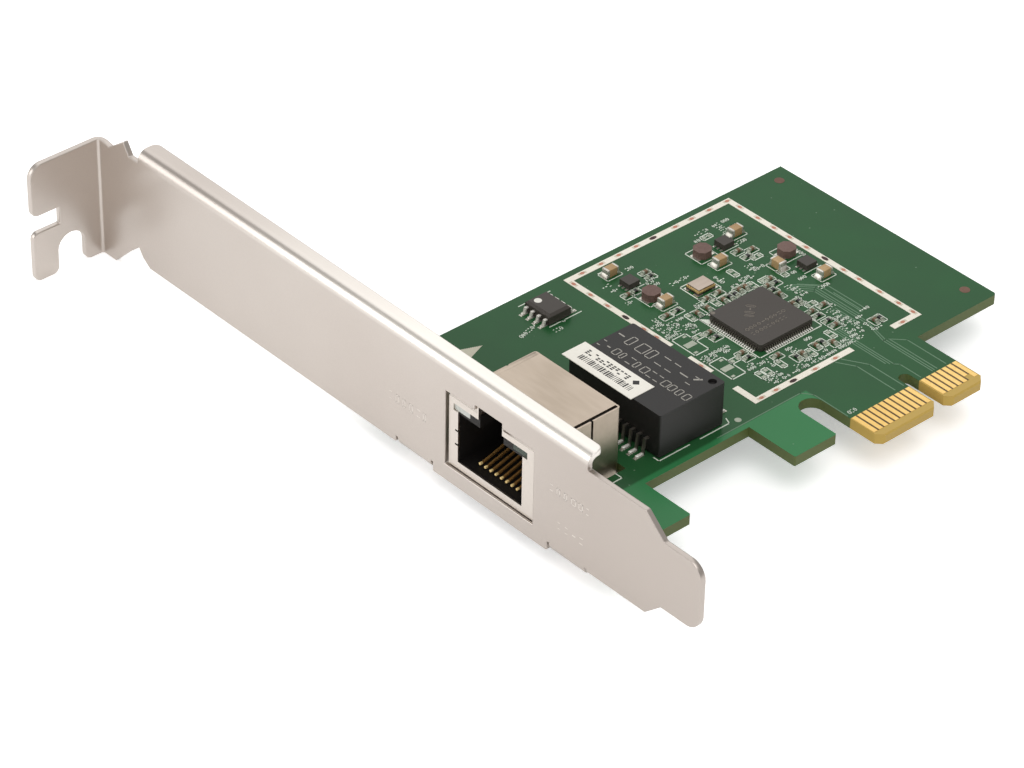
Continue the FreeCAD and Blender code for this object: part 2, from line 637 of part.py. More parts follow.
def make_screws():
    """Two cross-recess screws that clamp the board to the bracket's tabs, as separate solids."""
    shapes = []
    head, height = size("screw_head_radius"), size("screw_head_height")
    recess, shank = size("screw_recess_width"), size("screw_radius")
    for middle in TAB_MIDDLES:
        foot = Vector(number(SCREW_X), size(middle), size("land_low"))
        screw = Part.makeCylinder(shank, -foot.z, foot)
        screw = screw.fuse(Part.makeCylinder(head, height, Vector(foot.x, foot.y, 0)))
        rim = [edge for edge in screw.Edges if abs(edge.CenterOfMass.z - height) < 1e-6]
        screw = screw.makeFillet(height * 0.45, rim)
        for long_x in (True, False):
            long_side, short_side = 1.3 * head, recess
            span = (long_side, short_side) if long_x else (short_side, long_side)
            corner = Vector(foot.x - span[0] / 2, foot.y - span[1] / 2, height / 2)
            screw = screw.cut(Part.makeBox(span[0], span[1], height, corner))
        shapes.append(screw)
    return group("bracket_screws", shapes)


# ---------------------------------------------------------------- jack
JACK_SIDE = "(jack_middle - jack_width / 2)"
CAVITY_BACK = f"({JACK_FRONT} + cavity_depth)"
LAMP_LOW = "(cavity_high + lamp_wall)"
LAMP_HIGH = f"({LAMP_LOW} + lamp_height)"
LAMP_REACH = "(jack_width / 2 - lamp_margin)"
LAMP_SIDES = {
    "left": f"(port_middle + {LAMP_REACH} - lamp_width)",
    "right": f"(port_middle - {LAMP_REACH})",
}
KEY_CEILING = f"({JACK_TOP} + key_rise - shield_sheet)"
LEAD_SPREAD = "(jack_lead_pitch * 7 + jack_lead_width)"


def make_jack_shield():
    """A folded sheet shell, open underneath, with a port cut in its front and soldered ears."""
    body = new_body("shield_shell")
    high_side = f"{JACK_SIDE} + jack_width"
    shell = outline(body, "shield_outline", "XY_Plane", "jack_low", [
        (JACK_FRONT, JACK_SIDE), (JACK_BACK, JACK_SIDE), (JACK_BACK, high_side), (JACK_FRONT, high_side)])
    pad(body, shell, "jack_height")
    key_half = "(key_width / 2 + shield_sheet)"
    strip = outline(body, "shield_strip", "XY_Plane", JACK_TOP, [
        (JACK_FRONT, f"port_middle - {key_half}"), (f"{JACK_FRONT} + key_length", f"port_middle - {key_half}"),
        (f"{JACK_FRONT} + key_length", f"port_middle + {key_half}"), (JACK_FRONT, f"port_middle + {key_half}")])
    pad(body, strip, "key_rise")
    middle = "jack_low + jack_height / 2"
    round_edges(body, "shield_rounding", "jack_rounding",
                [(JACK_BACK, JACK_SIDE, middle), (JACK_BACK, high_side, middle)])

    inside = new_body("shield_inside")
    skin = "shield_sheet"
    room = outline(inside, "shield_room", "XY_Plane", "jack_low - 1", [
        (f"{JACK_FRONT} + {skin}", f"{JACK_SIDE} + {skin}"), (f"{JACK_BACK} - {skin}", f"{JACK_SIDE} + {skin}"),
        (f"{JACK_BACK} - {skin}", f"{high_side} - {skin}"), (f"{JACK_FRONT} + {skin}", f"{high_side} - {skin}")])
    pad(inside, room, f"jack_height + 1 - {skin}")
    round_edges(inside, "room_rounding", f"jack_rounding - {skin}",
                [(f"{JACK_BACK} - {skin}", f"{JACK_SIDE} + {skin}", middle),
                 (f"{JACK_BACK} - {skin}", f"{high_side} - {skin}", middle)])

    port = new_body("shield_port")
    half, key = "cavity_width / 2", "key_width / 2"
    opening = outline(port, "port_outline", "YZ_Plane", f"{JACK_FRONT} - 1", [
        (f"port_middle - {half}", "cavity_low"),
        (f"port_middle + {half}", "cavity_low"),
        (f"port_middle + {half}", LAMP_LOW),
        (f"port_middle + {LAMP_REACH}", LAMP_LOW),
        (f"port_middle + {LAMP_REACH}", LAMP_HIGH),
        (f"port_middle + {key}", LAMP_HIGH),
        (f"port_middle + {key}", f"{KEY_CEILING} - key_cut"),
        (f"port_middle + {key} - key_cut", KEY_CEILING),
        (f"port_middle - {key} + key_cut", KEY_CEILING),
        (f"port_middle - {key}", f"{KEY_CEILING} - key_cut"),
        (f"port_middle - {key}", LAMP_HIGH),
        (f"port_middle - {LAMP_REACH}", LAMP_HIGH),
        (f"port_middle - {LAMP_REACH}", LAMP_LOW),
        (f"port_middle - {half}", LAMP_LOW)])
    pad(port, opening, "1 + shield_sheet")
    tools = [inside, port,
             block("shield_key_room",
                   (f"{JACK_FRONT} - 1", f"port_middle - {key}", f"{JACK_TOP} - shield_sheet - 0.1"),
                   ("1 + key_length - shield_sheet", "key_width", "key_rise + 0.1")),
             block("shield_lead_opening",
                   (f"{JACK_BACK} - 2 * shield_sheet", f"jack_middle - {LEAD_SPREAD} / 2 - jack_lead_gap",
                    "jack_low - 1"),
                   ("3 * shield_sheet", f"{LEAD_SPREAD} + 2 * jack_lead_gap",
                    "1 - jack_low + jack_lead_thickness + jack_lead_gap"))]
    for index in range(2):
        slit_low = f"rim_slit_low + rim_slit_pitch * {index}"
        tools.append(block(f"rim_slit_{index + 1}",
                           (f"{JACK_FRONT} - 1", f"port_middle + {half} - 0.1", slit_low),
                           ("1 + shield_sheet", "rim_slit_depth + 0.1", "rim_slit_width")))
    for side, y, gap_y in (
            ("near", f"{JACK_SIDE} - 1", f"{JACK_SIDE} + shield_sheet"),
            ("away", f"{high_side} - shield_sheet", f"{high_side} - shield_sheet - shield_gap")):
        tools.append(block(f"top_gap_{side}",
                           (f"{JACK_FRONT} + seam_start", gap_y, f"{JACK_TOP} - 2 * shield_sheet"),
                           ("jack_depth - seam_start - shield_sheet", "shield_gap", "3 * shield_sheet")))
        tools.append(block(f"seam_down_{side}", (f"{JACK_FRONT} + seam_drop", y, f"{JACK_TOP} - seam_length"),
                           ("shield_seam", "1 + shield_sheet", "seam_length + 1")))
    reach = "cutout_side_gap + ear_reach"
    ears = [block("shield_ear_near", (f"{JACK_FRONT} + ear_start", f"{JACK_SIDE} - ({reach})", "0"),
                  ("ear_length", f"{reach} + shield_sheet", "shield_sheet")),
            block("shield_ear_away", (f"{JACK_FRONT} + ear_start", f"{high_side} - shield_sheet", "0"),
                  ("ear_length", f"{reach} + shield_sheet", "shield_sheet"))]
    return fuse("rj45_shield", [cut("shield_folded", body, tools), *ears])


def make_jack_housing():
    """The moulded insert that fills the shield, with the plug cavity open at the front."""
    skin = "(shield_sheet + shield_play)"
    body = new_body("housing_block")
    low, high = f"{JACK_SIDE} + {skin}", f"{JACK_SIDE} + jack_width - {skin}"
    front, back = f"{JACK_FRONT} + {skin}", f"{JACK_BACK} - {skin}"
    sketch = outline(body, "housing_outline", "XY_Plane", "jack_low", [
        (front, low), (back, low), (back, high), (front, high)])
    pad(body, sketch, f"jack_height - {skin}")
    round_edges(body, "housing_rounding", f"jack_rounding - {skin} + shield_play",
                [(back, low, "0"), (back, high, "0")])
    tools = [
        block("housing_cavity", (f"{JACK_FRONT} - 1", "port_middle - cavity_width / 2", "cavity_low"),
              ("cavity_depth + 1", "cavity_width", "cavity_high - cavity_low")),
        block("housing_groove", (f"{JACK_FRONT} - 1", "port_middle - key_width / 2", "cavity_high - 0.1"),
              ("groove_length + 1", "key_width", "jack_height")),
    ]
    for side, y in LAMP_SIDES.items():
        tools.append(block(f"housing_lamp_{side}",
                           (f"{JACK_FRONT} - 1", f"{y} - lamp_play", f"{LAMP_LOW} - lamp_play"),
                           ("lamp_depth + 1", "lamp_width + 2 * lamp_play", "lamp_height + 2 * lamp_play")))
    for index in range(8):
        y = f"port_middle + contact_pitch * {index - 3.5} - contact_width / 2 - contact_play"
        tools.append(block(f"contact_slot_{index + 1}",
                           (f"{CAVITY_BACK} - 0.5", y, "contact_low + contact_rise - contact_play"),
                           ("1.2", "contact_width + 2 * contact_play", "contact_width + 2 * contact_play")))
    return cut("rj45_housing", body, tools)


def make_jack_contacts():
    """Eight spring wires: a short tip, a sloping run and a straight end held by the rear wall."""
    shapes = []
    wide = size("contact_width")
    tip_x = number(f"{JACK_FRONT} + contact_front")
    back_x = number(f"{CAVITY_BACK} + 0.7")
    low = size("contact_low")
    high = low + size("contact_rise")
    knee_x = number(CAVITY_BACK) - 1.5
    side = [(tip_x, low), (tip_x + 0.6, low), (knee_x, high), (back_x, high),
            (back_x, high + wide), (knee_x - 0.1, high + wide), (tip_x + 0.5, low + wide), (tip_x, low + wide)]
    for index in range(8):
        y = size("port_middle") + size("contact_pitch") * (index - 3.5) - wide / 2
        points = [Vector(x, y, z) for x, z in side + side[:1]]
        shapes.append(Part.Face(Part.makePolygon(points)).extrude(Vector(0, wide, 0)))
    return group("rj45_contacts", shapes)


def make_jack_leads():
    """Eight flat leads from the housing's back to the board behind the cut-out."""
    wide, thickness = size("jack_lead_width"), size("jack_lead_thickness")
    start = number(f"{JACK_BACK} - shield_sheet - shield_play")
    end = number(f"{CUTOUT_BACK} + jack_lead_reach")
    shapes = []
    for index in range(8):
        y = size("jack_middle") + size("jack_lead_pitch") * (index - 3.5) - wide / 2
        shapes.append(Part.makeBox(end - start, wide, thickness, Vector(start, y, 0)))
    return group("rj45_leads", shapes)


def make_lamps():
    return [block(f"rj45_lamp_{side}", (f"{JACK_FRONT} + shield_sheet", y, LAMP_LOW),
                  ("lamp_depth - shield_sheet", "lamp_width", "lamp_height")) for side, y in LAMP_SIDES.items()]


# ---------------------------------------------------------------- packages with leads
def gull_lead(family):
    """One gull-wing lead in the XZ plane, from its foot's tip to the package's side at X = 0."""
    tip, heel = -size(family + "_lead_reach"), -size(family + "_lead_heel")
    thickness, width = size(family + "_lead_thickness"), size(family + "_lead_width")
    high = size(family + "_lead_exit")
    side = [(tip, 0), (heel, 0), (heel + thickness, high), (0, high), (0, high + thickness),
            (heel, high + thickness), (heel - thickness, thickness), (tip, thickness)]
    points = [Vector(x, -width / 2, z) for x, z in side + side[:1]]
    return Part.Face(Part.makePolygon(points)).extrude(Vector(0, width, 0))


def lead_rows(family, middle, width, quarters):
    """Leads along the sides of a package; quarters are the turns that have a row."""
    lead, half_size = gull_lead(family), width / 2
    count, pitch = int(size(family + "_leads_side")), size(family + "_pitch")
    shapes = []
    for quarter in quarters:
        for index in range(count):
            copy = lead.copy()
            copy.translate(Vector(-half_size, (index - (count - 1) / 2) * pitch, 0))
            copy.rotate(Vector(0, 0, 0), Vector(0, 0, 1), 90 * quarter)
            copy.translate(middle)
            shapes.append(copy)
    return shapes


MAGNETICS_X = f"({JACK_BACK} + magnetics_offset)"


def make_magnetics():
    span = ("magnetics_depth", "magnetics_length", "magnetics_top - magnetics_gap")
    body = new_body("magnetics_body")
    half_x, half_y = "magnetics_depth / 2", "magnetics_length / 2"
    sketch = outline(body, "magnetics_outline", "XY_Plane", "magnetics_gap", [
        (f"{MAGNETICS_X} - {half_x}", f"magnetics_y - {half_y}"),
        (f"{MAGNETICS_X} + {half_x}", f"magnetics_y - {half_y}"),
        (f"{MAGNETICS_X} + {half_x}", f"magnetics_y + {half_y}"),
        (f"{MAGNETICS_X} - {half_x}", f"magnetics_y + {half_y}")])
    pad(body, sketch, span[2])
    mark = ring(body, "magnetics_mark_ring", "XY_Plane", "magnetics_top",
                f"{MAGNETICS_X} + {half_x} - magnetics_mark_inset",
                f"magnetics_y - {half_y} + magnetics_mark_inset", "magnetics_mark")
    pocket(body, mark, "magnetics_mark_depth")
    level = "(magnetics_top + magnetics_gap) / 2"
    round_edges(body, "magnetics_rounding", "magnetics_edge", [
        (f"{MAGNETICS_X} + {sx} * {half_x}", f"magnetics_y + {sy} * {half_y}", level)
        for sx in (-1, 1) for sy in (-1, 1)])
    middle = Vector(number(MAGNETICS_X), size("magnetics_y") + size("magnetics_lead_shift"), 0)
    shapes = lead_rows("magnetics", middle, size("magnetics_depth"), (0, 2))
    label_x = f"{MAGNETICS_X} - {half_x} - label_side_overhang"
    label_y = f"magnetics_y + {half_y} + label_end_overhang - label_length"
    label = block("serial_label", (label_x, label_y, "magnetics_top"),
                  ("label_width", "label_length", "label_thickness"))
    return [body, group("magnetics_leads", shapes), label]


def make_controller():
    body = new_body("controller_body")
    half, corner = "controller_size / 2", "controller_size / 2 - controller_cut"
    points = []
    for sx, sy, first_x in ((-1, -1, True), (1, -1, False), (1, 1, True), (-1, 1, False)):
        along = (f"controller_x + {sx} * ({half})", f"controller_y + {sy} * ({corner})")
        across = (f"controller_x + {sx} * ({corner})", f"controller_y + {sy} * ({half})")
        points += [along, across] if first_x else [across, along]
    sketch = outline(body, "controller_outline", "XY_Plane", "controller_gap", points)
    pad(body, sketch, "controller_top - controller_gap")
    middle = Vector(size("controller_x"), size("controller_y"), 0)
    shapes = lead_rows("controller", middle, size("controller_size"), (0, 1, 2, 3))
    return [body, group("controller_leads", shapes)]


def make_memory():
    body = new_body("memory_body")
    half_x, half_y = "memory_depth / 2", "memory_length / 2"
    sketch = outline(body, "memory_outline", "XY_Plane", "memory_gap", [
        (f"memory_x - {half_x}", f"memory_y - {half_y}"), (f"memory_x + {half_x}", f"memory_y - {half_y}"),
        (f"memory_x + {half_x}", f"memory_y + {half_y}"), (f"memory_x - {half_x}", f"memory_y + {half_y}")])
    pad(body, sketch, "memory_top - memory_gap")
    round_edges(body, "memory_edges", "memory_cut", [
        (f"memory_x - {half_x}", "memory_y", "memory_top"), (f"memory_x + {half_x}", "memory_y", "memory_top"),
        ("memory_x", f"memory_y - {half_y}", "memory_top"), ("memory_x", f"memory_y + {half_y}", "memory_top"),
    ], "Chamfer")
    shapes = lead_rows("memory", Vector(size("memory_x"), size("memory_y"), 0), size("memory_depth"), (0, 2))
    return [body, group("memory_leads", shapes)]


# ---------------------------------------------------------------- small parts
INDUCTORS = [(-12.8, 41.9), (-0.4, 44.8), (8.7, 37.5)]
REGULATORS = [(-13.0, 46.0), (3.5, 44.5), (8.7, 33.55)]
BULK_CAPACITORS = [(-13.3, 49.5, 0), (-12.5, 39.4, 0), (-0.1, 41.6, 0), (6.6, 45.5, 0), (5.5, 35.9, 1),
                   (8.9, 30.4, 0)]
# Small chip parts: X, Y of the middle and the quarter turn of the long side.
CHIP_CAPACITORS = [
    (-9.5, 46.6, 0), (-15.0, 44.2, 0), (-7.5, 36.6, 0), (-5.2, 36.6, 0), (-10.8, 34.9, 1), (-8.9, 34.9, 1),
    (-5.9, 34.9, 1), (-2.6, 35.2, 1), (-1.5, 35.2, 1), (0.9, 33.4, 0), (0.9, 30.9, 1), (2.4, 34.4, 0),
    (0.6, 28.1, 1), (1.3, 25.2, 0), (3.6, 25.3, 0), (1.5, 20.9, 0), (6.3, 18.2, 1), (-9.5, 20.9, 0),
    (-6.6, 19.0, 1), (-3.9, 19.2, 1), (-1.6, 18.2, 1), (-12.7, 30.6, 0), (-12.7, 24.4, 0), (3.8, 42.1, 0),
    (5.6, 41.2, 0), (-14.4, 37.2, 0),
]
CHIP_RESISTORS = [
    (-9.5, 45.6, 0), (-13.6, 44.2, 0), (-4.7, 34.9, 1), (-3.7, 34.9, 1), (0.9, 32.3, 0), (2.4, 33.3, 0),
    (1.7, 28.1, 1), (1.3, 24.0, 0), (1.5, 22.3, 0), (7.3, 18.2, 1), (-7.7, 19.0, 1), (-2.7, 19.2, 1),
    (-12.7, 29.3, 0), (-12.7, 23.2, 0), (-12.4, 37.2, 0), (4.0, 40.4, 0),
]


def chip_shapes(places, height):
    """Small chip parts as separate boxes standing on the board."""
    long, wide = size("chip_length"), size("chip_width")
    shapes = []
    for x, y, quarter in places:
        span = (wide, long) if quarter else (long, wide)
        shapes.append(Part.makeBox(span[0], span[1], height, Vector(x - span[0] / 2, y - span[1] / 2, 0)))
    return shapes


def make_crystal():
    base = block_on("crystal_base", "crystal_x", "crystal_y", "0",
                    ("crystal_length", "crystal_depth", "crystal_base_height"))
    lid = block_on("crystal_lid", "crystal_x", "crystal_y", "crystal_base_height",
                   ("(crystal_length - 2 * crystal_lid_inset)", "(crystal_depth - 2 * crystal_lid_inset)",
                    "crystal_lid_height"))
    return [base, lid]


def make_inductors():
    bodies = []
    for index, (x, y) in enumerate(INDUCTORS, start=1):
        body = new_body(f"inductor_{index}")
        half, corner = "inductor_size / 2", "inductor_size / 2 - inductor_cut"
        points = []
        for sx, sy, first_x in ((-1, -1, True), (1, -1, False), (1, 1, True), (-1, 1, False)):
            along = (f"{x} + {sx} * ({half})", f"{y} + {sy} * ({corner})")
            across = (f"{x} + {sx} * ({corner})", f"{y} + {sy} * ({half})")
            points += [along, across] if first_x else [across, along]
        pad(body, outline(body, f"inductor_outline_{index}", "XY_Plane", "0", points), "inductor_height")
        bodies.append(body)
    return bodies


def make_regulators():
    return [block_on(f"regulator_{index}", x, y, "0", ("regulator_size", "regulator_size", "regulator_height"))
            for index, (x, y) in enumerate(REGULATORS, start=1)]


def make_bulk_capacitors():
    blocks = []
    for index, (x, y, quarter) in enumerate(BULK_CAPACITORS, start=1):
        span = ("bulk_width", "bulk_length") if quarter else ("bulk_length", "bulk_width")
        blocks.append(block_on(f"bulk_capacitor_{index}", x, y, "0", (*span, "bulk_width")))
    return blocks


def make_fence():
    """Tinned strips that a shield can would stand on, with the gaps where traces pass."""
    width, thickness = size("fence_width"), size("fence_thickness")
    left, right = size("fence_left"), size("fence_right")
    low, high = size("fence_low"), size("fence_high")
    half = width / 2
    upright = [(left, low + half, low + size("fence_first_stop")),
               (left, low + size("fence_second_start"), low + size("fence_second_stop")),
               (left, low + size("fence_third_start"), high - half),
               (right, low + half, high - half)]
    level = [(high, left - half, right + half), (low, left - half, left + size("fence_low_stop")),
             (low, right - size("fence_low_start"), right + half)]
    shapes = [Part.makeBox(width, end - start, thickness, Vector(x - half, start, 0)) for x, start, end in upright]
    shapes += [Part.makeBox(end - start, width, thickness, Vector(start, y - half, 0)) for y, start, end in level]
    joined = shapes[0].multiFuse(shapes[1:])
    return group("shield_fence", joined.Solids)


# ---------------------------------------------------------------- the card
def make_card():
    """Every node of the card, in the order in which it is put together."""
    nodes = [make_board(), group("edge_fingers_front", pad_shapes(False)),
             group("edge_fingers_back", pad_shapes(True)), make_bracket(), make_screws(),
             make_jack_shield(), make_jack_housing(), make_jack_contacts(), make_jack_leads(), *make_lamps(),
             *make_magnetics(), *make_controller(), *make_memory(), *make_crystal(), *make_inductors(),
             *make_regulators(), *make_bulk_capacitors(),
             group("chip_capacitors", chip_shapes(CHIP_CAPACITORS, size("chip_capacitor_height"))),
             group("chip_resistors", chip_shapes(CHIP_RESISTORS, size("chip_resistor_height"))),
             make_fence()]
    for node in nodes:
        node.Label = node.Name
    return nodes


def check(nodes):
    """Stops the build if any object failed or any node's shape is missing or invalid."""
    for item in doc.Objects:
        if "Invalid" in item.State or "Error" in item.State:
            raise RuntimeError(f"{item.Name} failed to recompute: {item.State}")
    for node in nodes:
        if node.Shape.isNull() or not node.Shape.isValid() or not node.Shape.Solids:
            raise RuntimeError(f"{node.Name} has no valid shape")


card = make_card()
doc.recompute()
check(card)
os.makedirs("parts", exist_ok=True)
for node in card:
    node.Shape.exportStep(os.path.join("parts", node.Label + ".step"))
    print(f"{node.Label}: {len(node.Shape.Solids)} solid(s), {node.Shape.Volume:.3f} mm3")
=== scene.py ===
"""Looks of a network interface card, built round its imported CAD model.

The frame is the CAD model's own: X = 0 at the middle of the connector's key notch, +X from the
bracket to the card's free end, +Y towards the bracket's screw flange and +Z up from the component
face. Sizes in the classes are in millimetres, and Blender's own units are metres.
"""

import json
import logging
import math
import random
from collections.abc import Iterable, Iterator, Sequence
from contextlib import contextmanager
from dataclasses import dataclass
from enum import Enum

import bmesh
import bpy
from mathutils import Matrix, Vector


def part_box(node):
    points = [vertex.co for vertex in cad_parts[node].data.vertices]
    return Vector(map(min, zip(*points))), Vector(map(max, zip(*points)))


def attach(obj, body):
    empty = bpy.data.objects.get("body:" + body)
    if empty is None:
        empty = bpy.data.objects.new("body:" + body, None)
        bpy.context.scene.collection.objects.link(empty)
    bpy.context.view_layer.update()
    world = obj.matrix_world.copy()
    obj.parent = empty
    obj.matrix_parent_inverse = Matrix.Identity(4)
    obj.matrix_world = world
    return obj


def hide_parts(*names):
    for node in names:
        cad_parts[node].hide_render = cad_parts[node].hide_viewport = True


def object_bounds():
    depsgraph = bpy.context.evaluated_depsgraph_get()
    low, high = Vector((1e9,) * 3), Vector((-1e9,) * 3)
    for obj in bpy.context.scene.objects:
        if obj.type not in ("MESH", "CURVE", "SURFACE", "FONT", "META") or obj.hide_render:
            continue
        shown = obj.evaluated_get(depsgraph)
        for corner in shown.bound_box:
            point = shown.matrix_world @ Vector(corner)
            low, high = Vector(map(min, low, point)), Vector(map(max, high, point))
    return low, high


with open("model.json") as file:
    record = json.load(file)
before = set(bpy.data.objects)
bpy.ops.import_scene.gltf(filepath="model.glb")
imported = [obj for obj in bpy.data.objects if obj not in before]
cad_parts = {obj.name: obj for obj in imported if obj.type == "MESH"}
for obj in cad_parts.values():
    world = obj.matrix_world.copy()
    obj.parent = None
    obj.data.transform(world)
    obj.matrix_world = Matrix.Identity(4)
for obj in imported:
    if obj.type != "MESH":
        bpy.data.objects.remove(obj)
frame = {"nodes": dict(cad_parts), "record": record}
CAD_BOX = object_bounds()

LOG = logging.getLogger("network_card")
ROOT = "root"
MM = 0.001
# How far print, bare pads and ink stand above the face that carries them, in millimetres.
PRINT_LIFT = 0.015
PAD_LIFT = 0.02
INK_LIFT = 0.006
# A face whose normal has more than this along Z points upwards.
UPWARD = 0.9
# Edges sharper than the first angle are rounded, and those sharper than the second stay hard.
ROUNDED_ANGLE = math.radians(40)
HARD_ANGLE = math.radians(50)
# Points nearer than this are one point, and faces that turn less than this are one face.
WELD_GAP = MM * 0.001
FLAT_ANGLE = math.radians(0.5)

Rgb = tuple[float, float, float]
Point = tuple[float, float]
Triple = tuple[float, float, float]
Numbers = tuple[float, ...]
Row = tuple[Point, Point, float]
Pair = tuple[str, str]
Material = bpy.types.Material
Piece = bpy.types.Object
Socket = bpy.types.NodeSocket


# ---- modelling bench
@dataclass(frozen=True)
class Box:
    """An upright box given by two corners, in millimetres."""

    low: Vector
    high: Vector

    @classmethod
    def of(cls, low: Sequence[float], high: Sequence[float]) -> "Box":
        """The box between two corners given as plain numbers."""
        return cls(Vector(low), Vector(high))

    @classmethod
    def about(cls, x: float, y: float, size: Point, low: float = 0.0, high: float = 0.0) -> "Box":
        """The box of a size along X and Y round a middle, between two heights."""
        return cls.of((x - size[0] / 2, y - size[1] / 2, low), (x + size[0] / 2, y + size[1] / 2, high))

    @property
    def middle(self) -> Vector:
        """The box's middle."""
        return (self.low + self.high) / 2

    @property
    def span(self) -> Vector:
        """The box's size along X, Y and Z."""
        return self.high - self.low

    def meets(self, other: "Box") -> bool:
        """Whether two boxes overlap, seen from above."""
        return all(self.low[i] < other.high[i] and other.low[i] < self.high[i] for i in range(2))

    def grown(self, gap: float) -> "Box":
        """The box with a gap added on all sides."""
        step = Vector((gap, gap, gap))
        return Box(self.low - step, self.high + step)


@dataclass(frozen=True)
class Stroke:
    """A straight line of even width on a level face, in millimetres."""

    start: Point
    end: Point
    width: float

    @property
    def length(self) -> float:
        """Distance between the two ends."""
        return math.dist(self.start, self.end)

    @property
    def angle(self) -> float:
        """Turn from +X, in radians."""
        return math.atan2(self.end[1] - self.start[1], self.end[0] - self.start[0])


@dataclass(frozen=True)
class Copy:
    """Where one copy of a model goes: its place, its turn about Z and its stretch along X and Y."""

    x: float
    y: float
    z: float = 0.0
    turn: float = 0.0
    stretch: Point = (1.0, 1.0)


def node_box(node: str) -> Box:
    """The box of a CAD node, in millimetres."""
    low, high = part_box(node)
    return Box(low / MM, high / MM)


def node_islands(node: str) -> list[Box]:
    """The boxes of a CAD node's separate solids.

    Args:
        node: Name of the CAD node.

    Returns:
        One box for each solid, in millimetres, in order of X and then Y.
    """
    mesh = frame["nodes"][node].data
    owner: dict[tuple[int, ...], int] = {}
    parent = list(range(len(mesh.vertices)))

    def root(index: int) -> int:
        """The first vertex of the island that a vertex is in.

        Args:
            index: The vertex.

        Returns:
            Index of that first vertex.
        """
        while parent[index] != index:
            parent[index] = parent[parent[index]]
            index = parent[index]
        return index

    for vertex in mesh.vertices:
        key = tuple(round(value * 1e7) for value in vertex.co)
        parent[root(vertex.index)] = root(owner.setdefault(key, vertex.index))
    for polygon in mesh.polygons:
        first = polygon.vertices[0]
        for other in polygon.vertices[1:]:
            parent[root(other)] = root(first)
    groups: dict[int, list[Vector]] = {}
    for vertex in mesh.vertices:
        groups.setdefault(root(vertex.index), []).append(vertex.co / MM)
    boxes = [Box.of([min(p[i] for p in points) for i in range(3)], [max(p[i] for p in points) for i in range(3)])
             for points in groups.values()]
    return sorted(boxes, key=lambda box: (round(box.middle.x, 3), round(box.middle.y, 3)))


def mount_place(name: str) -> Vector:
    """Where one of the record's mounts is, in millimetres."""
    return next(Vector(mount["pos_m"]) / MM for mount in frame["record"]["mounts"] if mount["name"] == name)


def activate(*pieces: Piece) -> None:
    """Selects these objects alone and makes the first one active.

    Args:
        *pieces: The objects, the active one first.
    """
    bpy.ops.object.select_all(action="DESELECT")
    for piece in pieces:
        piece.select_set(True)
    bpy.context.view_layer.objects.active = pieces[0]


@contextmanager
def editing(piece: Piece) -> Iterator[None]:
    """Opens a piece in edit mode for the operators inside the block.

    Args:
        piece: The piece to open.
    """
    activate(piece)
    bpy.ops.object.mode_set(mode="EDIT")
    bpy.ops.mesh.select_mode(type="FACE")
    yield
    bpy.ops.object.mode_set(mode="OBJECT")


def pick_top(piece: Piece) -> None:
    """Selects only the faces that point upwards on a piece in edit mode.

    Args:
        piece: The piece, in edit mode.
    """
    mesh = bmesh.from_edit_mesh(piece.data)
    for face in mesh.faces:
        face.select_set(False)
    for face in mesh.faces:
        if face.normal.z > UPWARD:
            face.select_set(True)
    mesh.select_flush_mode()
    bmesh.update_edit_mesh(piece.data)


def dished(piece: Piece, rim: float, step: float = 0.0) -> Piece:
    """Insets a piece's top and moves the face inside the rim up or down.

    Args:
        piece: The piece to change.
        rim: Width of the rim, in millimetres.
        step: How far the inner face moves up.

    Returns:
        The same piece.
    """
    with editing(piece):
        pick_top(piece)
        bpy.ops.mesh.inset(thickness=rim * MM)
        bpy.ops.transform.translate(value=(0, 0, step * MM))
    return piece


def tapered(piece: Piece, share: Point, x: float, z: float) -> Piece:
    """Shrinks a piece's top towards a point, so that its sides slope.

    Args:
        piece: The piece to change.
        share: What is left of the top along X and Y.
        x: Where the point is along X, in millimetres.
        z: Its height.

    Returns:
        The same piece.
    """
    with editing(piece):
        pick_top(piece)
        bpy.ops.transform.resize(value=(*share, 1.0), center_override=(x * MM, 0, z * MM))
    return piece


def joined(name: str, *pieces: Piece) -> Piece:
    """Joins objects into one named piece with its place in its mesh.

    Args:
        name: Name of the piece and its mesh.
        *pieces: Objects to join.

    Returns:
        The one object that is left.
    """
    activate(*pieces)
    bpy.ops.object.transform_apply(location=True, rotation=True, scale=True)
    if len(pieces) > 1:
        bpy.ops.object.join()
    piece = bpy.context.object
    piece.name = piece.data.name = name
    return piece


def rough_piece(name: str, box: Box, sides: int = 0) -> Piece:
    """Adds a block or an upright rod that fills a box.

    Args:
        name: Name of the new piece.
        box: Box to fill, in millimetres.
        sides: Sides of a rod, or 0 for a block.

    Returns:
        The new object, with its place in its mesh.
    """
    bpy.ops.object.select_all(action="DESELECT")
    fill = {"location": box.middle * MM, "scale": box.span * MM}
    if sides:
        bpy.ops.mesh.primitive_cylinder_add(vertices=sides, radius=0.5, depth=1, **fill)
    else:
        bpy.ops.mesh.primitive_cube_add(size=1, **fill)
    return joined(name, bpy.context.object)


def copies(name: str, model: Piece, places: Iterable[Copy]) -> Piece:
    """Copies one modelled piece, which stands at the origin, to many places and joins the copies.

    Args:
        name: Name of the joined piece.
        model: The piece to copy. It is used up.
        places: Where the copies go, in millimetres and degrees.

    Returns:
        The joined piece.
    """
    made = []
    for place in places:
        twin = model.copy()
        twin.data = model.data.copy()
        bpy.context.scene.collection.objects.link(twin)
        twin.location = Vector((place.x, place.y, place.z)) * MM
        twin.rotation_euler = (0, 0, math.radians(place.turn))
        twin.scale = (*place.stretch, 1)
        made.append(twin)
    bpy.data.objects.remove(model)
    bpy.context.view_layer.update()
    return joined(name, *made)


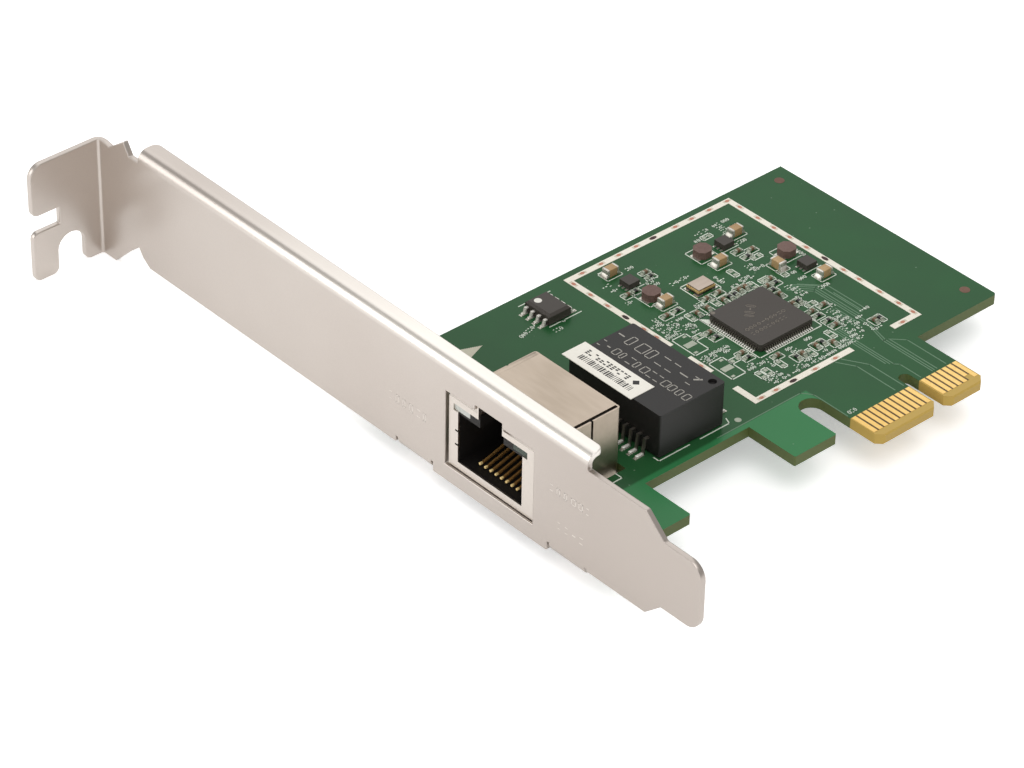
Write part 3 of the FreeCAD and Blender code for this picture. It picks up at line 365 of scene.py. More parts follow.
def modified(piece: Piece, kind: str, **settings: object) -> Piece:
    """Adds one modifier to a piece and applies it.

    Args:
        piece: The piece to change.
        kind: Blender's name of the modifier type.
        **settings: The modifier's own settings.

    Returns:
        The same piece.
    """
    activate(piece)
    modifier = piece.modifiers.new(kind.lower(), kind)
    for key, value in settings.items():
        setattr(modifier, key, value)
    bpy.ops.object.modifier_apply(modifier=modifier.name)
    return piece


def softened(piece: Piece, radius: float, segments: int = 2) -> Piece:
    """Rounds a piece's sharp edges and shades it smooth.

    Args:
        piece: The piece to change.
        radius: Width of the rounding, in millimetres.
        segments: Segments across it.

    Returns:
        The same piece.
    """
    modified(piece, "BEVEL", width=radius * MM, segments=segments, limit_method="ANGLE",
             angle_limit=ROUNDED_ANGLE, harden_normals=False)
    bpy.ops.object.shade_smooth_by_angle(angle=HARD_ANGLE)
    return piece


def edge_rounded(node: str, radius: float) -> Piece:
    """Stands a merged copy with slightly rounded edges in for a CAD node.

    Args:
        node: Name of the CAD node.
        radius: Width of the rounding, in millimetres.

    Returns:
        The new piece.
    """
    piece = bpy.data.objects.new(f"{node}_rounded", frame["nodes"][node].data.copy())
    bpy.context.scene.collection.objects.link(piece)
    with editing(piece):
        bpy.ops.mesh.select_all(action="SELECT")
        bpy.ops.mesh.remove_doubles(threshold=WELD_GAP)
        bpy.ops.mesh.dissolve_limited(angle_limit=FLAT_ANGLE)
        bpy.ops.mesh.customdata_custom_splitnormals_clear()
    modified(piece, "BEVEL", width=radius * MM, segments=2, limit_method="ANGLE", angle_limit=ROUNDED_ANGLE,
             use_clamp_overlap=False)
    modified(piece, "TRIANGULATE")
    modified(piece, "WEIGHTED_NORMAL", keep_sharp=True)
    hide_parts(node)
    return piece


def path(points: Sequence[Point], width: float) -> list[Stroke]:
    """Strokes through a row of points, each a little longer so that the corners close.

    Args:
        points: The corners, in millimetres.
        width: Width of the line.

    Returns:
        One stroke for each stretch.
    """
    strokes = []
    for start, end in zip(points, points[1:]):
        reach = math.dist(start, end)
        step = ((end[0] - start[0]) / reach * width / 2, (end[1] - start[1]) / reach * width / 2)
        strokes.append(Stroke((start[0] - step[0], start[1] - step[1]), (end[0] + step[0], end[1] + step[1]), width))
    return strokes


def rectangle(low: Point, high: Point, width: float) -> list[Stroke]:
    """Strokes round a rectangle given by two of its corners."""
    return path([low, (high[0], low[1]), high, (low[0], high[1]), low], width)


def outline(box: Box, gap: float, width: float) -> list[Stroke]:
    """Strokes round a box, seen from above, at a gap from it."""
    wider = box.grown(gap)
    return rectangle(tuple(wider.low[:2]), tuple(wider.high[:2]), width)


def bar(x0: float, y0: float, x1: float, y1: float) -> Stroke:
    """One filled rectangle given by two of its corners."""
    return Stroke((x0, (y0 + y1) / 2), (x1, (y0 + y1) / 2), abs(y1 - y0))


def printed(name: str, strokes: list[Stroke], level: float = 0.0, lift: float = PRINT_LIFT) -> Piece:
    """Lays flat strokes on a level face and raises them by the thickness of a print.

    Args:
        name: Name of the piece.
        strokes: The strokes, in millimetres.
        level: Z of the face that carries them.
        lift: Thickness of the print.

    Returns:
        The piece, closed, with its faces outwards.
    """
    bpy.ops.object.select_all(action="DESELECT")
    bpy.ops.mesh.primitive_plane_add(size=MM, location=(0, 0, 0))
    places = [Copy((stroke.start[0] + stroke.end[0]) / 2, (stroke.start[1] + stroke.end[1]) / 2, level,
                   math.degrees(stroke.angle), (stroke.length, stroke.width)) for stroke in strokes]
    piece = copies(name, bpy.context.object, places)
    with editing(piece):
        bpy.ops.mesh.select_all(action="SELECT")
        bpy.ops.mesh.extrude_region_move(TRANSFORM_OT_translate={"value": (0, 0, lift * MM)})
        bpy.ops.mesh.select_all(action="SELECT")
        bpy.ops.mesh.normals_make_consistent(inside=False)
    return piece


def dressed(piece: Piece, finish: str) -> None:
    """Gives a new piece its finish and body, and reports it.

    Args:
        piece: The finished piece.
        finish: Name of its finish.
    """
    piece.data.materials.clear()
    piece.data.materials.append(PALETTE[finish])
    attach(piece, ROOT)
    LOG.info("%s: %d faces, finish %s", piece.name, len(piece.data.polygons), finish)


def laid(name: str, strokes: list[Stroke], finish: str, slot: str, **place: float) -> None:
    """Prints strokes and gives the piece its finish, with the level and lift that printed takes."""
    dressed(printed(name, strokes, **place), finish)


def repainted(node: str, finish: str) -> None:
    """Gives a CAD node a finish in its own material slots.

    Args:
        node: Name of the CAD node.
        finish: Name of the finish.
    """
    shown = frame["nodes"][node]
    if not shown.material_slots:
        shown.data.materials.append(PALETTE[finish])
    for held in shown.material_slots:
        held.material = PALETTE[finish]
    LOG.info("%s: CAD node, finish %s", node, finish)


# ---- shader effects
def linear(colour: Rgb) -> tuple[float, float, float, float]:
    """An 8-bit display colour as the linear colour that a shader socket takes."""
    parts = [value / 255 for value in colour]
    return (*[part / 12.92 if part <= 0.04045 else ((part + 0.055) / 1.055) ** 2.4 for part in parts], 1.0)


class Wiring:
    """Short ways to add and join nodes in one node tree."""

    def __init__(self, tree: bpy.types.NodeTree) -> None:
        """Keeps the tree that the nodes go into."""
        self.tree = tree

    def feed(self, node: bpy.types.Node, sources: dict[int | str, object]) -> bpy.types.Node:
        """Gives inputs of a node a plain value or another node's output.

        Args:
            node: The node.
            sources: A socket or a value for each input, by its index or name.

        Returns:
            The same node.
        """
        for key, source in sources.items():
            if isinstance(source, Socket):
                self.tree.links.new(source, node.inputs[key])
            else:
                node.inputs[key].default_value = source
        return node

    def add(self, kind: str, sources: dict[int | str, object], **settings: object) -> bpy.types.Node:
        """Adds a node, sets its properties and feeds its inputs.

        Args:
            kind: Blender's name of the node type.
            sources: A socket or a value for each input, by its index or name.
            **settings: Properties of the node.

        Returns:
            The new node.
        """
        node = self.tree.nodes.new(kind)
        for key, value in settings.items():
            setattr(node, key, value)
        return self.feed(node, sources)

    def math(self, operation: str, first: object, second: object, clamp: bool = False) -> Socket:
        """The result of a Math node on two sockets or numbers."""
        return self.add("ShaderNodeMath", {0: first, 1: second}, operation=operation, use_clamp=clamp).outputs[0]

    def vector(self, operation: str, *sources: object) -> Socket:
        """The result of a Vector Math node on sockets or vectors."""
        return self.add("ShaderNodeVectorMath", dict(enumerate(sources)), operation=operation).outputs[0]

    def mix(self, factor: object, first: object, second: object) -> Socket:
        """Two sockets or linear colours mixed, with factor 0 for the first."""
        return self.add("ShaderNodeMix", {0: factor, 6: first, 7: second}, data_type="RGBA").outputs[2]

    def spread(self, value: Socket, *limits: object) -> Socket:
        """A value mapped from one range to another, 0 to 1 by default, and kept inside."""
        return self.add("ShaderNodeMapRange", {0: value, **dict(enumerate(limits, start=1))}).outputs[0]

    def place(self) -> Socket:
        """Object coordinates."""
        return self.add("ShaderNodeTexCoord", {}).outputs["Object"]

    def rays(self, kind: str) -> Socket:
        """Whether the ray that sees a surface is of a kind."""
        return self.add("ShaderNodeLightPath", {}).outputs[kind]

    def noise(self, place: Socket, scale: Socket, detail: float) -> Socket:
        """The value of a noise texture."""
        return self.add("ShaderNodeTexNoise", {"Vector": place, "Scale": scale, "Detail": detail}).outputs[0]

    def effect(self, effect: "Effect", **values: object) -> bpy.types.Node:
        """The group node of a shared effect, with values for its inputs."""
        return self.add("ShaderNodeGroup", values, node_tree=EffectKit.group(effect))


class Effect(Enum):
    """Shader effects that several finishes share."""

    GRAIN = "fine_grain"
    SMUDGE = "handling_smudge"
    SPECKS = "dust_specks"
    PATCH = "level_patch"


class EffectKit:
    """Builds each shared shader effect once, as a node group with named sockets."""

    made: dict[Effect, bpy.types.NodeTree] = {}
    outputs: dict[str, str] = {"Mask": "NodeSocketFloat", "Normal": "NodeSocketVector"}
    grain_detail, grain_limits, grain_depth = 3.0, (0.35, 0.65), 0.02 * MM
    smudge_detail, smudge_limits = 2.0, (0.4, 0.65)
    edge_value = 0.5

    @classmethod
    def group(cls, effect: Effect) -> bpy.types.NodeTree:
        """The group of an effect, made on first use.

        Args:
            effect: Which effect.

        Returns:
            The node group.
        """
        if effect not in cls.made:
            maker = {Effect.GRAIN: cls.grain, Effect.SMUDGE: cls.smudge,
                     Effect.SPECKS: cls.specks, Effect.PATCH: cls.patch}[effect]
            cls.made[effect] = bpy.data.node_groups.new(effect.value, "ShaderNodeTree")
            maker(Wiring(cls.made[effect]))
        return cls.made[effect]

    @staticmethod
    def given(wiring: Wiring, **inputs: object) -> dict[str, Socket]:
        """Adds a group's inputs.

        Args:
            wiring: The group's wiring.
            **inputs: Starting value of each input; three numbers make a vector.

        Returns:
            What each input gives, by its name.
        """
        for key, value in inputs.items():
            kind = "NodeSocketVector" if isinstance(value, tuple) else "NodeSocketFloat"
            wiring.tree.interface.new_socket(key, in_out="INPUT", socket_type=kind).default_value = value
        node = wiring.add("NodeGroupInput", {})
        return {key: node.outputs[key] for key in inputs}

    @classmethod
    def give(cls, wiring: Wiring, **results: Socket) -> None:
        """Adds a group's outputs, each with its result.

        Args:
            wiring: The wiring of the group.
            **results: What each output gives.
        """
        for key in results:
            wiring.tree.interface.new_socket(key, in_out="OUTPUT", socket_type=cls.outputs[key])
        wiring.add("NodeGroupOutput", results)

    @classmethod
    def grain(cls, wiring: Wiring) -> None:
        """Fine grain of a rolled, moulded or printed surface, as a mask and a normal.

        Args:
            wiring: The wiring of the group.
        """
        given = cls.given(wiring, Scale=2000.0, Stretch=(1.0, 1.0, 1.0), Strength=0.1)
        place = wiring.vector("MULTIPLY", wiring.place(), given["Stretch"])
        noise = wiring.noise(place, given["Scale"], cls.grain_detail)
        bump = wiring.add("ShaderNodeBump", {"Height": noise, "Strength": given["Strength"],
                                             "Distance": cls.grain_depth})
        cls.give(wiring, Mask=wiring.spread(noise, *cls.grain_limits), Normal=bump.outputs[0])

    @classmethod
    def smudge(cls, wiring: Wiring) -> None:
        """Broad soft patches where a surface has been handled, as a mask.

        Args:
            wiring: The wiring of the group.
        """
        given = cls.given(wiring, Scale=60.0)
        noise = wiring.noise(wiring.place(), given["Scale"], cls.smudge_detail)
        cls.give(wiring, Mask=wiring.spread(noise, *cls.smudge_limits))

    @classmethod
    def specks(cls, wiring: Wiring) -> None:
        """Small scattered specks of dust or tiny plated holes, as a mask.

        Args:
            wiring: The wiring of the group.
        """
        given = cls.given(wiring, Scale=700.0, Size=0.12)
        cells = wiring.add("ShaderNodeTexVoronoi", {"Vector": wiring.place(), "Scale": given["Scale"]})
        cls.give(wiring, Mask=wiring.math("LESS_THAN", cells.outputs["Distance"], given["Size"]))

    @classmethod
    def patch(cls, wiring: Wiring) -> None:
        """An upright box with soft sides, as a mask that is 1 inside it.

        Args:
            wiring: The wiring of the group.
        """
        given = cls.given(wiring, Middle=(0.0, 0.0, 0.0), Half=(0.01, 0.01, 0.01), Softness=(MM, MM, MM))
        offset = wiring.vector("ABSOLUTE", wiring.vector("SUBTRACT", wiring.place(), given["Middle"]))
        share = wiring.vector("DIVIDE", wiring.vector("SUBTRACT", given["Half"], offset), given["Softness"])
        x, y, z = wiring.add("ShaderNodeSeparateXYZ", {0: share}).outputs
        least = wiring.math("MINIMUM", wiring.math("MINIMUM", x, y), z)
        cls.give(wiring, Mask=wiring.math("ADD", least, cls.edge_value, clamp=True))


# ---- finishes
@dataclass(frozen=True)
class Zone:
    """An upright zone through a piece: two corners, two heights and soft edges, in millimetres."""

    low: Point
    high: Point
    above: float = -1000.0
    below: float = 1000.0
    soft: Triple = (0.05, 0.05, 0.05)

    def mask(self, wiring: Wiring) -> Socket:
        """A mask that is 1 inside the zone.

        Args:
            wiring: The material's wiring.

        Returns:
            The mask's socket.
        """
        low, high = Vector((*self.low, self.above)), Vector((*self.high, self.below))
        return wiring.effect(Effect.PATCH, Middle=tuple((low + high) / 2 * MM), Half=tuple((high - low) / 2 * MM),
                             Softness=tuple(Vector(self.soft) * MM)).outputs["Mask"]


@dataclass(frozen=True)
class Dust:
    """Fine specks all over a piece: how dense, how large and how strong."""

    scale: float
    size: float
    strength: float

    def mask(self, wiring: Wiring) -> Socket:
        """A mask over the specks."""
        specks = wiring.effect(Effect.SPECKS, Scale=self.scale, Size=self.size).outputs["Mask"]
        return wiring.math("MULTIPLY", specks, self.strength)


@dataclass(frozen=True)
class Finish:
    """One colour, a second where it has been handled, a fine grain, and layers over them."""

    name: str
    colour: Rgb
    handled: Rgb
    rough: Point = (0.5, 0.6)
    metallic: float = 0.0
    grain_scale: float = 2500.0
    stretch: Triple = (1.0, 1.0, 1.0)
    grain_strength: float = 0.15
    grain_share: float = 0.35
    smudge_scale: float = 60.0
    specular: float = 0.5
    transmission: float = 0.0
    layers: tuple[tuple[Zone | Dust, Rgb], ...] = ()

    def build(self) -> Material:
        """Makes the material.

        Returns:
            The material.
        """
        material = bpy.data.materials.new(self.name)
        material.use_nodes = True
        wiring = Wiring(material.node_tree)
        grain = wiring.effect(Effect.GRAIN, Scale=self.grain_scale, Stretch=self.stretch,
                              Strength=self.grain_strength)
        smudge = wiring.effect(Effect.SMUDGE, Scale=self.smudge_scale)
        mask = wiring.math("ADD", wiring.math("MULTIPLY", grain.outputs["Mask"], self.grain_share),
                           wiring.math("MULTIPLY", smudge.outputs["Mask"], 1 - self.grain_share), clamp=True)
        colour = wiring.mix(mask, linear(self.colour), linear(self.handled))
        for layer, layer_colour in self.layers:
            colour = wiring.mix(layer.mask(wiring), colour, linear(layer_colour))
        wiring.feed(material.node_tree.nodes["Principled BSDF"], {
            "Metallic": self.metallic, "Specular IOR Level": self.specular,
            "Transmission Weight": self.transmission, "Base Color": colour,
            "Roughness": wiring.spread(mask, 0.0, 1.0, *self.rough), "Normal": grain.outputs["Normal"]})
        return material


# The bare core shows at the board's cut edges, just inside the mask on its two faces.
EVERYWHERE = (-1000.0, -1000.0), (1000.0, 1000.0)
LAMINATE_HEIGHTS = -1.54, -0.03
# Where no copper plane lies under the mask it is lighter, with a soft edge.
BARE_MASK = (52, 122, 74)
BARE_EDGE = (0.4, 0.4, 0.4)

FINISHES = (
    Finish("solder_mask_green", (35, 82, 46), (39, 88, 50), (0.28, 0.34), grain_scale=900.0, grain_strength=0.08,
           grain_share=0.0, smudge_scale=90.0, specular=0.18, layers=(
               (Zone((-60.0, -2.0), (-28.2, 12.9), soft=BARE_EDGE), BARE_MASK),
               (Zone((-29.0, -2.0), (-12.1, 12.9), soft=BARE_EDGE), BARE_MASK),
               (Dust(420.0, 0.055, 0.28), (150, 170, 150)),
               (Zone(*EVERYWHERE, *LAMINATE_HEIGHTS, soft=(0.02, 0.02, 0.02)), (92, 104, 60)),
               (Zone((-12.4, -2.0), (8.4, 4.74)), (190, 160, 84)))),
    Finish("gold_plating", (238, 202, 128), (228, 188, 110), (0.25, 0.36), metallic=1.0, grain_scale=1800.0),
    Finish("finger_gap", (96, 74, 38), (84, 64, 32)),
    Finish("contact_gold", (226, 176, 104), (206, 152, 84), (0.22, 0.32), metallic=0.75),
    # Painted highlight: a bright, less metallic gold for the glint at the contacts' tips.
    Finish("contact_tip_painted_highlight", (255, 232, 170), (250, 214, 140), (0.3, 0.4)),
    Finish("bracket_sheet_painted_reflections", (203, 195, 188), (197, 188, 181), (0.3, 0.36), metallic=1.0, grain_scale=5200.0,
           grain_strength=0.3, smudge_scale=35.0, layers=(
               # Painted reflection: the plate darker towards its -Y end, where it mirrors a dimmer floor.
               (Zone((-90.0, -40.0), (-20.0, 16.0), soft=(20.0, 20.0, 20.0)), (190, 181, 174)),
               # Painted highlight: the lip's top lighter, fading along Y, for the bright reflection on it.
               (Zone((-90.0, -40.0), (-20.0, 62.0), above=13.6, soft=(0.5, 46.0, 1.0)), (240, 235, 228)))),
    Finish("screw_plating", (196, 190, 184), (176, 170, 162), (0.28, 0.4), metallic=1.0),
    Finish("shield_tin_sheet_painted_front_light", (192, 178, 163), (182, 168, 152), (0.3, 0.4), metallic=1.0, grain_scale=1500.0,
           stretch=(1.0, 0.15, 1.0), grain_strength=0.2,
           # Painted light: the shield's front face at the port lighter than the rest of the same tin sheet.
           layers=((Zone((-58.0, 10.0), (-56.1, 40.0)), (216, 208, 200)),)),
    Finish("jack_black", (22, 20, 20), (32, 30, 28), (0.38, 0.5), grain_strength=0.2, specular=0.22),
    Finish("lamp_clear", (224, 226, 220), (186, 190, 184), (0.2, 0.3), grain_strength=0.05, transmission=0.12),
    Finish("lamp_green", (60, 78, 62), (40, 56, 44), (0.2, 0.3), grain_strength=0.05, transmission=0.12),
    Finish("lead_tin", (222, 218, 210), (196, 191, 182), (0.22, 0.34), metallic=0.7, grain_scale=3500.0),
    # Painted highlight: a lighter, less metallic copy of the lead tin.
    Finish("lead_tin_painted_highlight", (240, 238, 232), (226, 222, 214), (0.25, 0.35), metallic=0.25, grain_scale=3500.0),
    # Painted shade: a darker copy of the lead tin.
    Finish("lead_tin_painted_shade", (142, 137, 128), (122, 117, 108), (0.3, 0.4), metallic=0.85, grain_scale=3500.0),
    Finish("label_white", (243, 240, 231), (235, 231, 221), grain_strength=0.1),
    Finish("label_ink", (34, 32, 32), (48, 46, 46)),
    Finish("chip_moulding", (55, 49, 44), (62, 56, 50), (0.5, 0.62), grain_scale=7000.0, grain_strength=0.35,
           specular=0.65),
    Finish("chip_mark_grey", (124, 116, 106), (112, 105, 96), (0.6, 0.7)),
    Finish("magnetics_moulding", (26, 25, 25), (34, 32, 31), (0.46, 0.56), grain_scale=5000.0, grain_strength=0.3),
    Finish("magnetics_ink", (178, 174, 166), (150, 147, 140), (0.6, 0.7)),
    Finish("crystal_ceramic_dark", (36, 30, 27), (48, 41, 36)),
    Finish("crystal_lid_metal", (184, 170, 158), (172, 158, 145), (0.3, 0.42), metallic=1.0, grain_scale=1600.0,
           stretch=(0.2, 1.0, 1.0)),
    Finish("crystal_gold_rim", (216, 184, 124), (200, 164, 102), (0.25, 0.35), metallic=0.6),
    Finish("ferrite_brown", (116, 92, 84), (98, 74, 68), (0.55, 0.7), grain_scale=3000.0, grain_strength=0.4),
    Finish("capacitor_brown", (124, 98, 74), (104, 80, 60), (0.45, 0.6), grain_scale=4000.0),
    Finish("capacitor_tan", (184, 154, 110), (162, 130, 90), (0.4, 0.55), grain_scale=4000.0),
    Finish("resistor_glaze", (20, 20, 22), (34, 32, 32), (0.3, 0.45)),
    Finish("solder_bright", (214, 212, 202), (186, 182, 172), (0.22, 0.34), metallic=0.8, grain_scale=1800.0),
    Finish("pad_dull", (172, 178, 162), (150, 158, 142), (0.35, 0.45), metallic=0.4, grain_scale=1800.0),
    Finish("fence_tinned", (240, 235, 222), (232, 226, 212), (0.4, 0.5), metallic=0.2, grain_scale=2600.0),
    Finish("silk_white", (224, 230, 218), (208, 216, 203), (0.6, 0.7)),
    Finish("wedge_pale", (196, 192, 172), (182, 178, 160), (0.4, 0.5)),
    Finish("trace_green", (92, 128, 98), (84, 118, 90), (0.35, 0.45)),
    Finish("copper_pink", (196, 136, 112), (176, 112, 90), (0.4, 0.5), metallic=0.1),
    Finish("fence_gap", (214, 206, 188), (196, 186, 166)),
    Finish("mark_brown", (118, 86, 70), (104, 74, 60), (0.4, 0.5), metallic=0.3),
    # Painted shade: the dark inside of open holes, on flat spots.
    Finish("opening_painted_shade", (58, 24, 20), (44, 20, 18)),
    Finish("paint_white", (238, 236, 228), (226, 224, 216), (0.45, 0.55)),
    # Painted highlight: stamped marks lighter than the plate, for the light caught on their relief.
    Finish("plate_mark_painted_highlight", (232, 226, 219), (214, 206, 198), (0.4, 0.5), metallic=0.4),
)
PALETTE: dict[str, Material] = {}


# ---- shared small shapes
class Side(Enum):
    """Side of a chip that a lead stands out from, with its turn about Z in degrees."""

    RIGHT = 0
    BACK = 90
    LEFT = 180
    FRONT = 270


def lead_end(lead: Box, body: Box) -> tuple[Side, Point]:
    """Where a lead ends.

    Args:
        lead: The lead's box.
        body: The box of its chip's body.

    Returns:
        The side of the body that the lead stands on, and the lead's furthest point from it.
    """
    offset, reach = lead.middle - body.middle, body.span / 2
    x, y = lead.middle[:2]
    if abs(offset.x) / reach.x > abs(offset.y) / reach.y:
        return (Side.RIGHT, (lead.high.x, y)) if offset.x > 0 else (Side.LEFT, (lead.low.x, y))
    return (Side.BACK, (x, lead.high.y)) if offset.y > 0 else (Side.FRONT, (x, lead.low.y))


@dataclass(frozen=True)
class LeadJoints:
    """Pads, feet with a painted highlight and solder under a row of formed leads."""

    pad_length: float = 1.3
    pad_beyond: float = 0.3
    pad_extra_width: float = 0.12
    toe_back: float = 0.5
    toe_top: Point = (0.45, 0.8)
    toe_peak: float = -0.3
    toe_rounding: float = 0.05
    solder_level: float = 0.01
    solder_height: float = 0.2
    solder_beyond: float = 0.22
    foot_length: float = 0.0
    foot_beyond: float = 0.02
    foot_height: float = 0.22
    foot_skin: float = 0.01
    foot_rounding: float = 0.03

    def foot_model(self, width: float) -> Piece:
        """The flat foot of a lead of a width, at the origin, as a model for copies.

        Args:
            width: Width of the lead.

        Returns:
            The model.
        """
        half = width / 2 + self.foot_skin
        box = Box.of((-self.foot_length, -half, 0.0), (self.foot_beyond, half, self.foot_height))
        return softened(rough_piece("foot", box), self.foot_rounding, 1)

    def toe_model(self, width: float) -> Piece:
        """One solder toe of a width at the origin, rising towards -X, as a model for copies.

        Args:
            width: Width of the lead.

        Returns:
            The model.
        """
        box = Box.of((-self.toe_back, -width / 2, 0.0), (self.solder_beyond, width / 2, self.solder_height))
        toe = tapered(rough_piece("solder_toe", box), self.toe_top, self.toe_peak, self.solder_height)
        return softened(toe, min(self.toe_rounding, width / 6), 1)

    def build(self, name: str, leads: list[Box], body: Box) -> None:
        """Makes the pads, feet and solder for a chip's leads.

        Args:
            name: Start of the pieces' names.
            leads: Boxes of the leads.
            body: Box of the chip's body.
        """
        pads, toes = [], []
        for lead in leads:
            side, (x, y) = lead_end(lead, body)
            turn = math.radians(side.value)
            out = (math.cos(turn), math.sin(turn))
            width = lead.span.y if side in (Side.RIGHT, Side.LEFT) else lead.span.x
            back = self.pad_length - self.pad_beyond
            pads.append(Stroke((x - out[0] * back, y - out[1] * back),
                               (x + out[0] * self.pad_beyond, y + out[1] * self.pad_beyond),
                               width + self.pad_extra_width))
            toes.append(Copy(x, y, self.solder_level, side.value))
        laid(f"{name}_pads", pads, "solder_bright", "tin", lift=PAD_LIFT)
        if self.foot_length:
            # The feet take the lighter copy of the lead tin: painted highlight.
            dressed(copies(f"{name}_feet", self.foot_model(width), toes), "lead_tin_painted_highlight")
        dressed(copies(f"{name}_solder", self.toe_model(width), toes), "solder_bright")


@dataclass
class GreekRow:
    """A row of plain dashes where small print stands."""

    start: Point
    end: Point
    height: float
    pitch: float = 0.8
    fill: float = 0.62
    line: float = 0.14
    spread: Point = (0.6, 1.15)
    room: float = 0.4
    bar_width: float = 1.6

    def strokes(self, chance: random.Random) -> list[Stroke]:
        """The row's strokes: plain boxes, pairs of bars and single bars.

        Args:
            chance: Seeded source of the uneven lengths.

        Returns:
            The strokes.
        """
        run = math.dist(self.start, self.end)
        along = Vector(((self.end[0] - self.start[0]) / run, (self.end[1] - self.start[1]) / run))
        up = Vector((-along.y, along.x)) * self.height
        made, place = [], 0.0
        while place < run - self.pitch * self.room:
            low = Vector(self.start) + along * place
            far = low + along * self.pitch * self.fill * chance.uniform(*self.spread)
            kind = chance.choice(("box", "pair", "bar", "box"))
            if kind == "box":
                made += path([tuple(low), tuple(far), tuple(far + up), tuple(low + up), tuple(low)], self.line)
            elif kind == "pair":
                made += [Stroke(tuple(low + rise), tuple(far + rise), self.line) for rise in (up * 0, up)]
            else:
                made.append(Stroke(tuple(low + up / 2), tuple(far + up / 2), self.line * self.bar_width))
            place += self.pitch
        return made


def greeked(rows: Iterable[GreekRow], chance: random.Random) -> list[Stroke]:
    """The strokes of some rows of small print, one row after the other."""
    return [stroke for row in rows for stroke in row.strokes(chance)]


# ---- board
@dataclass
class PrintField:
    """A zone of the board that is dense with small print, laid clear of the parts."""

    low: Point
    high: Point
    share: float = 0.8
    cell: Point = (1.75, 0.86)
    height: float = 0.52
    line: float = 0.12
    pitch: float = 0.46
    shift: Point = (0.0, 0.5)
    lengths: Point = (0.55, 0.9)

    def rows(self, busy: list[Box], chance: random.Random) -> list[GreekRow]:
        """The rows of the zone that are clear of the parts.

        Args:
            busy: Boxes that the print keeps clear of.
            chance: Seeded source of the uneven lengths.

        Returns:
            The rows.
        """
        rows, y = [], self.low[1]
        while y + self.height < self.high[1]:
            x = self.low[0] + chance.uniform(*self.shift)
            while x + self.cell[0] < self.high[0]:
                length = self.cell[0] * chance.uniform(*self.lengths)
                area = Box.of((x, y, 0), (x + length, y + self.height, 0))
                if chance.random() < self.share and not any(area.meets(box) for box in busy):
                    rows.append(GreekRow((x, y), (x + length, y), self.height, self.pitch, line=self.line))
                x += self.cell[0]
            y += self.cell[1]
        return rows


class Land(Enum):
    """Kind of open footprint, with its size along X and Y."""

    COIL = (2.5, 4.6)
    LEVEL = (1.9, 1.0)
    UPRIGHT = (1.0, 1.9)


# The bare pads of each kind of footprint, as two corners from its middle.
LAND_PADS = {
    Land.COIL: ((-0.9, -0.5, 0.9, 0.5), (-0.95, -2.0, -0.35, -1.6), (0.35, 1.6, 0.95, 2.0)),
    Land.LEVEL: ((-0.75, -0.28, -0.2, 0.28), (0.2, -0.28, 0.75, 0.28)),
    Land.UPRIGHT: ((-0.28, -0.75, 0.28, -0.2), (-0.28, 0.2, 0.28, 0.75)),
}


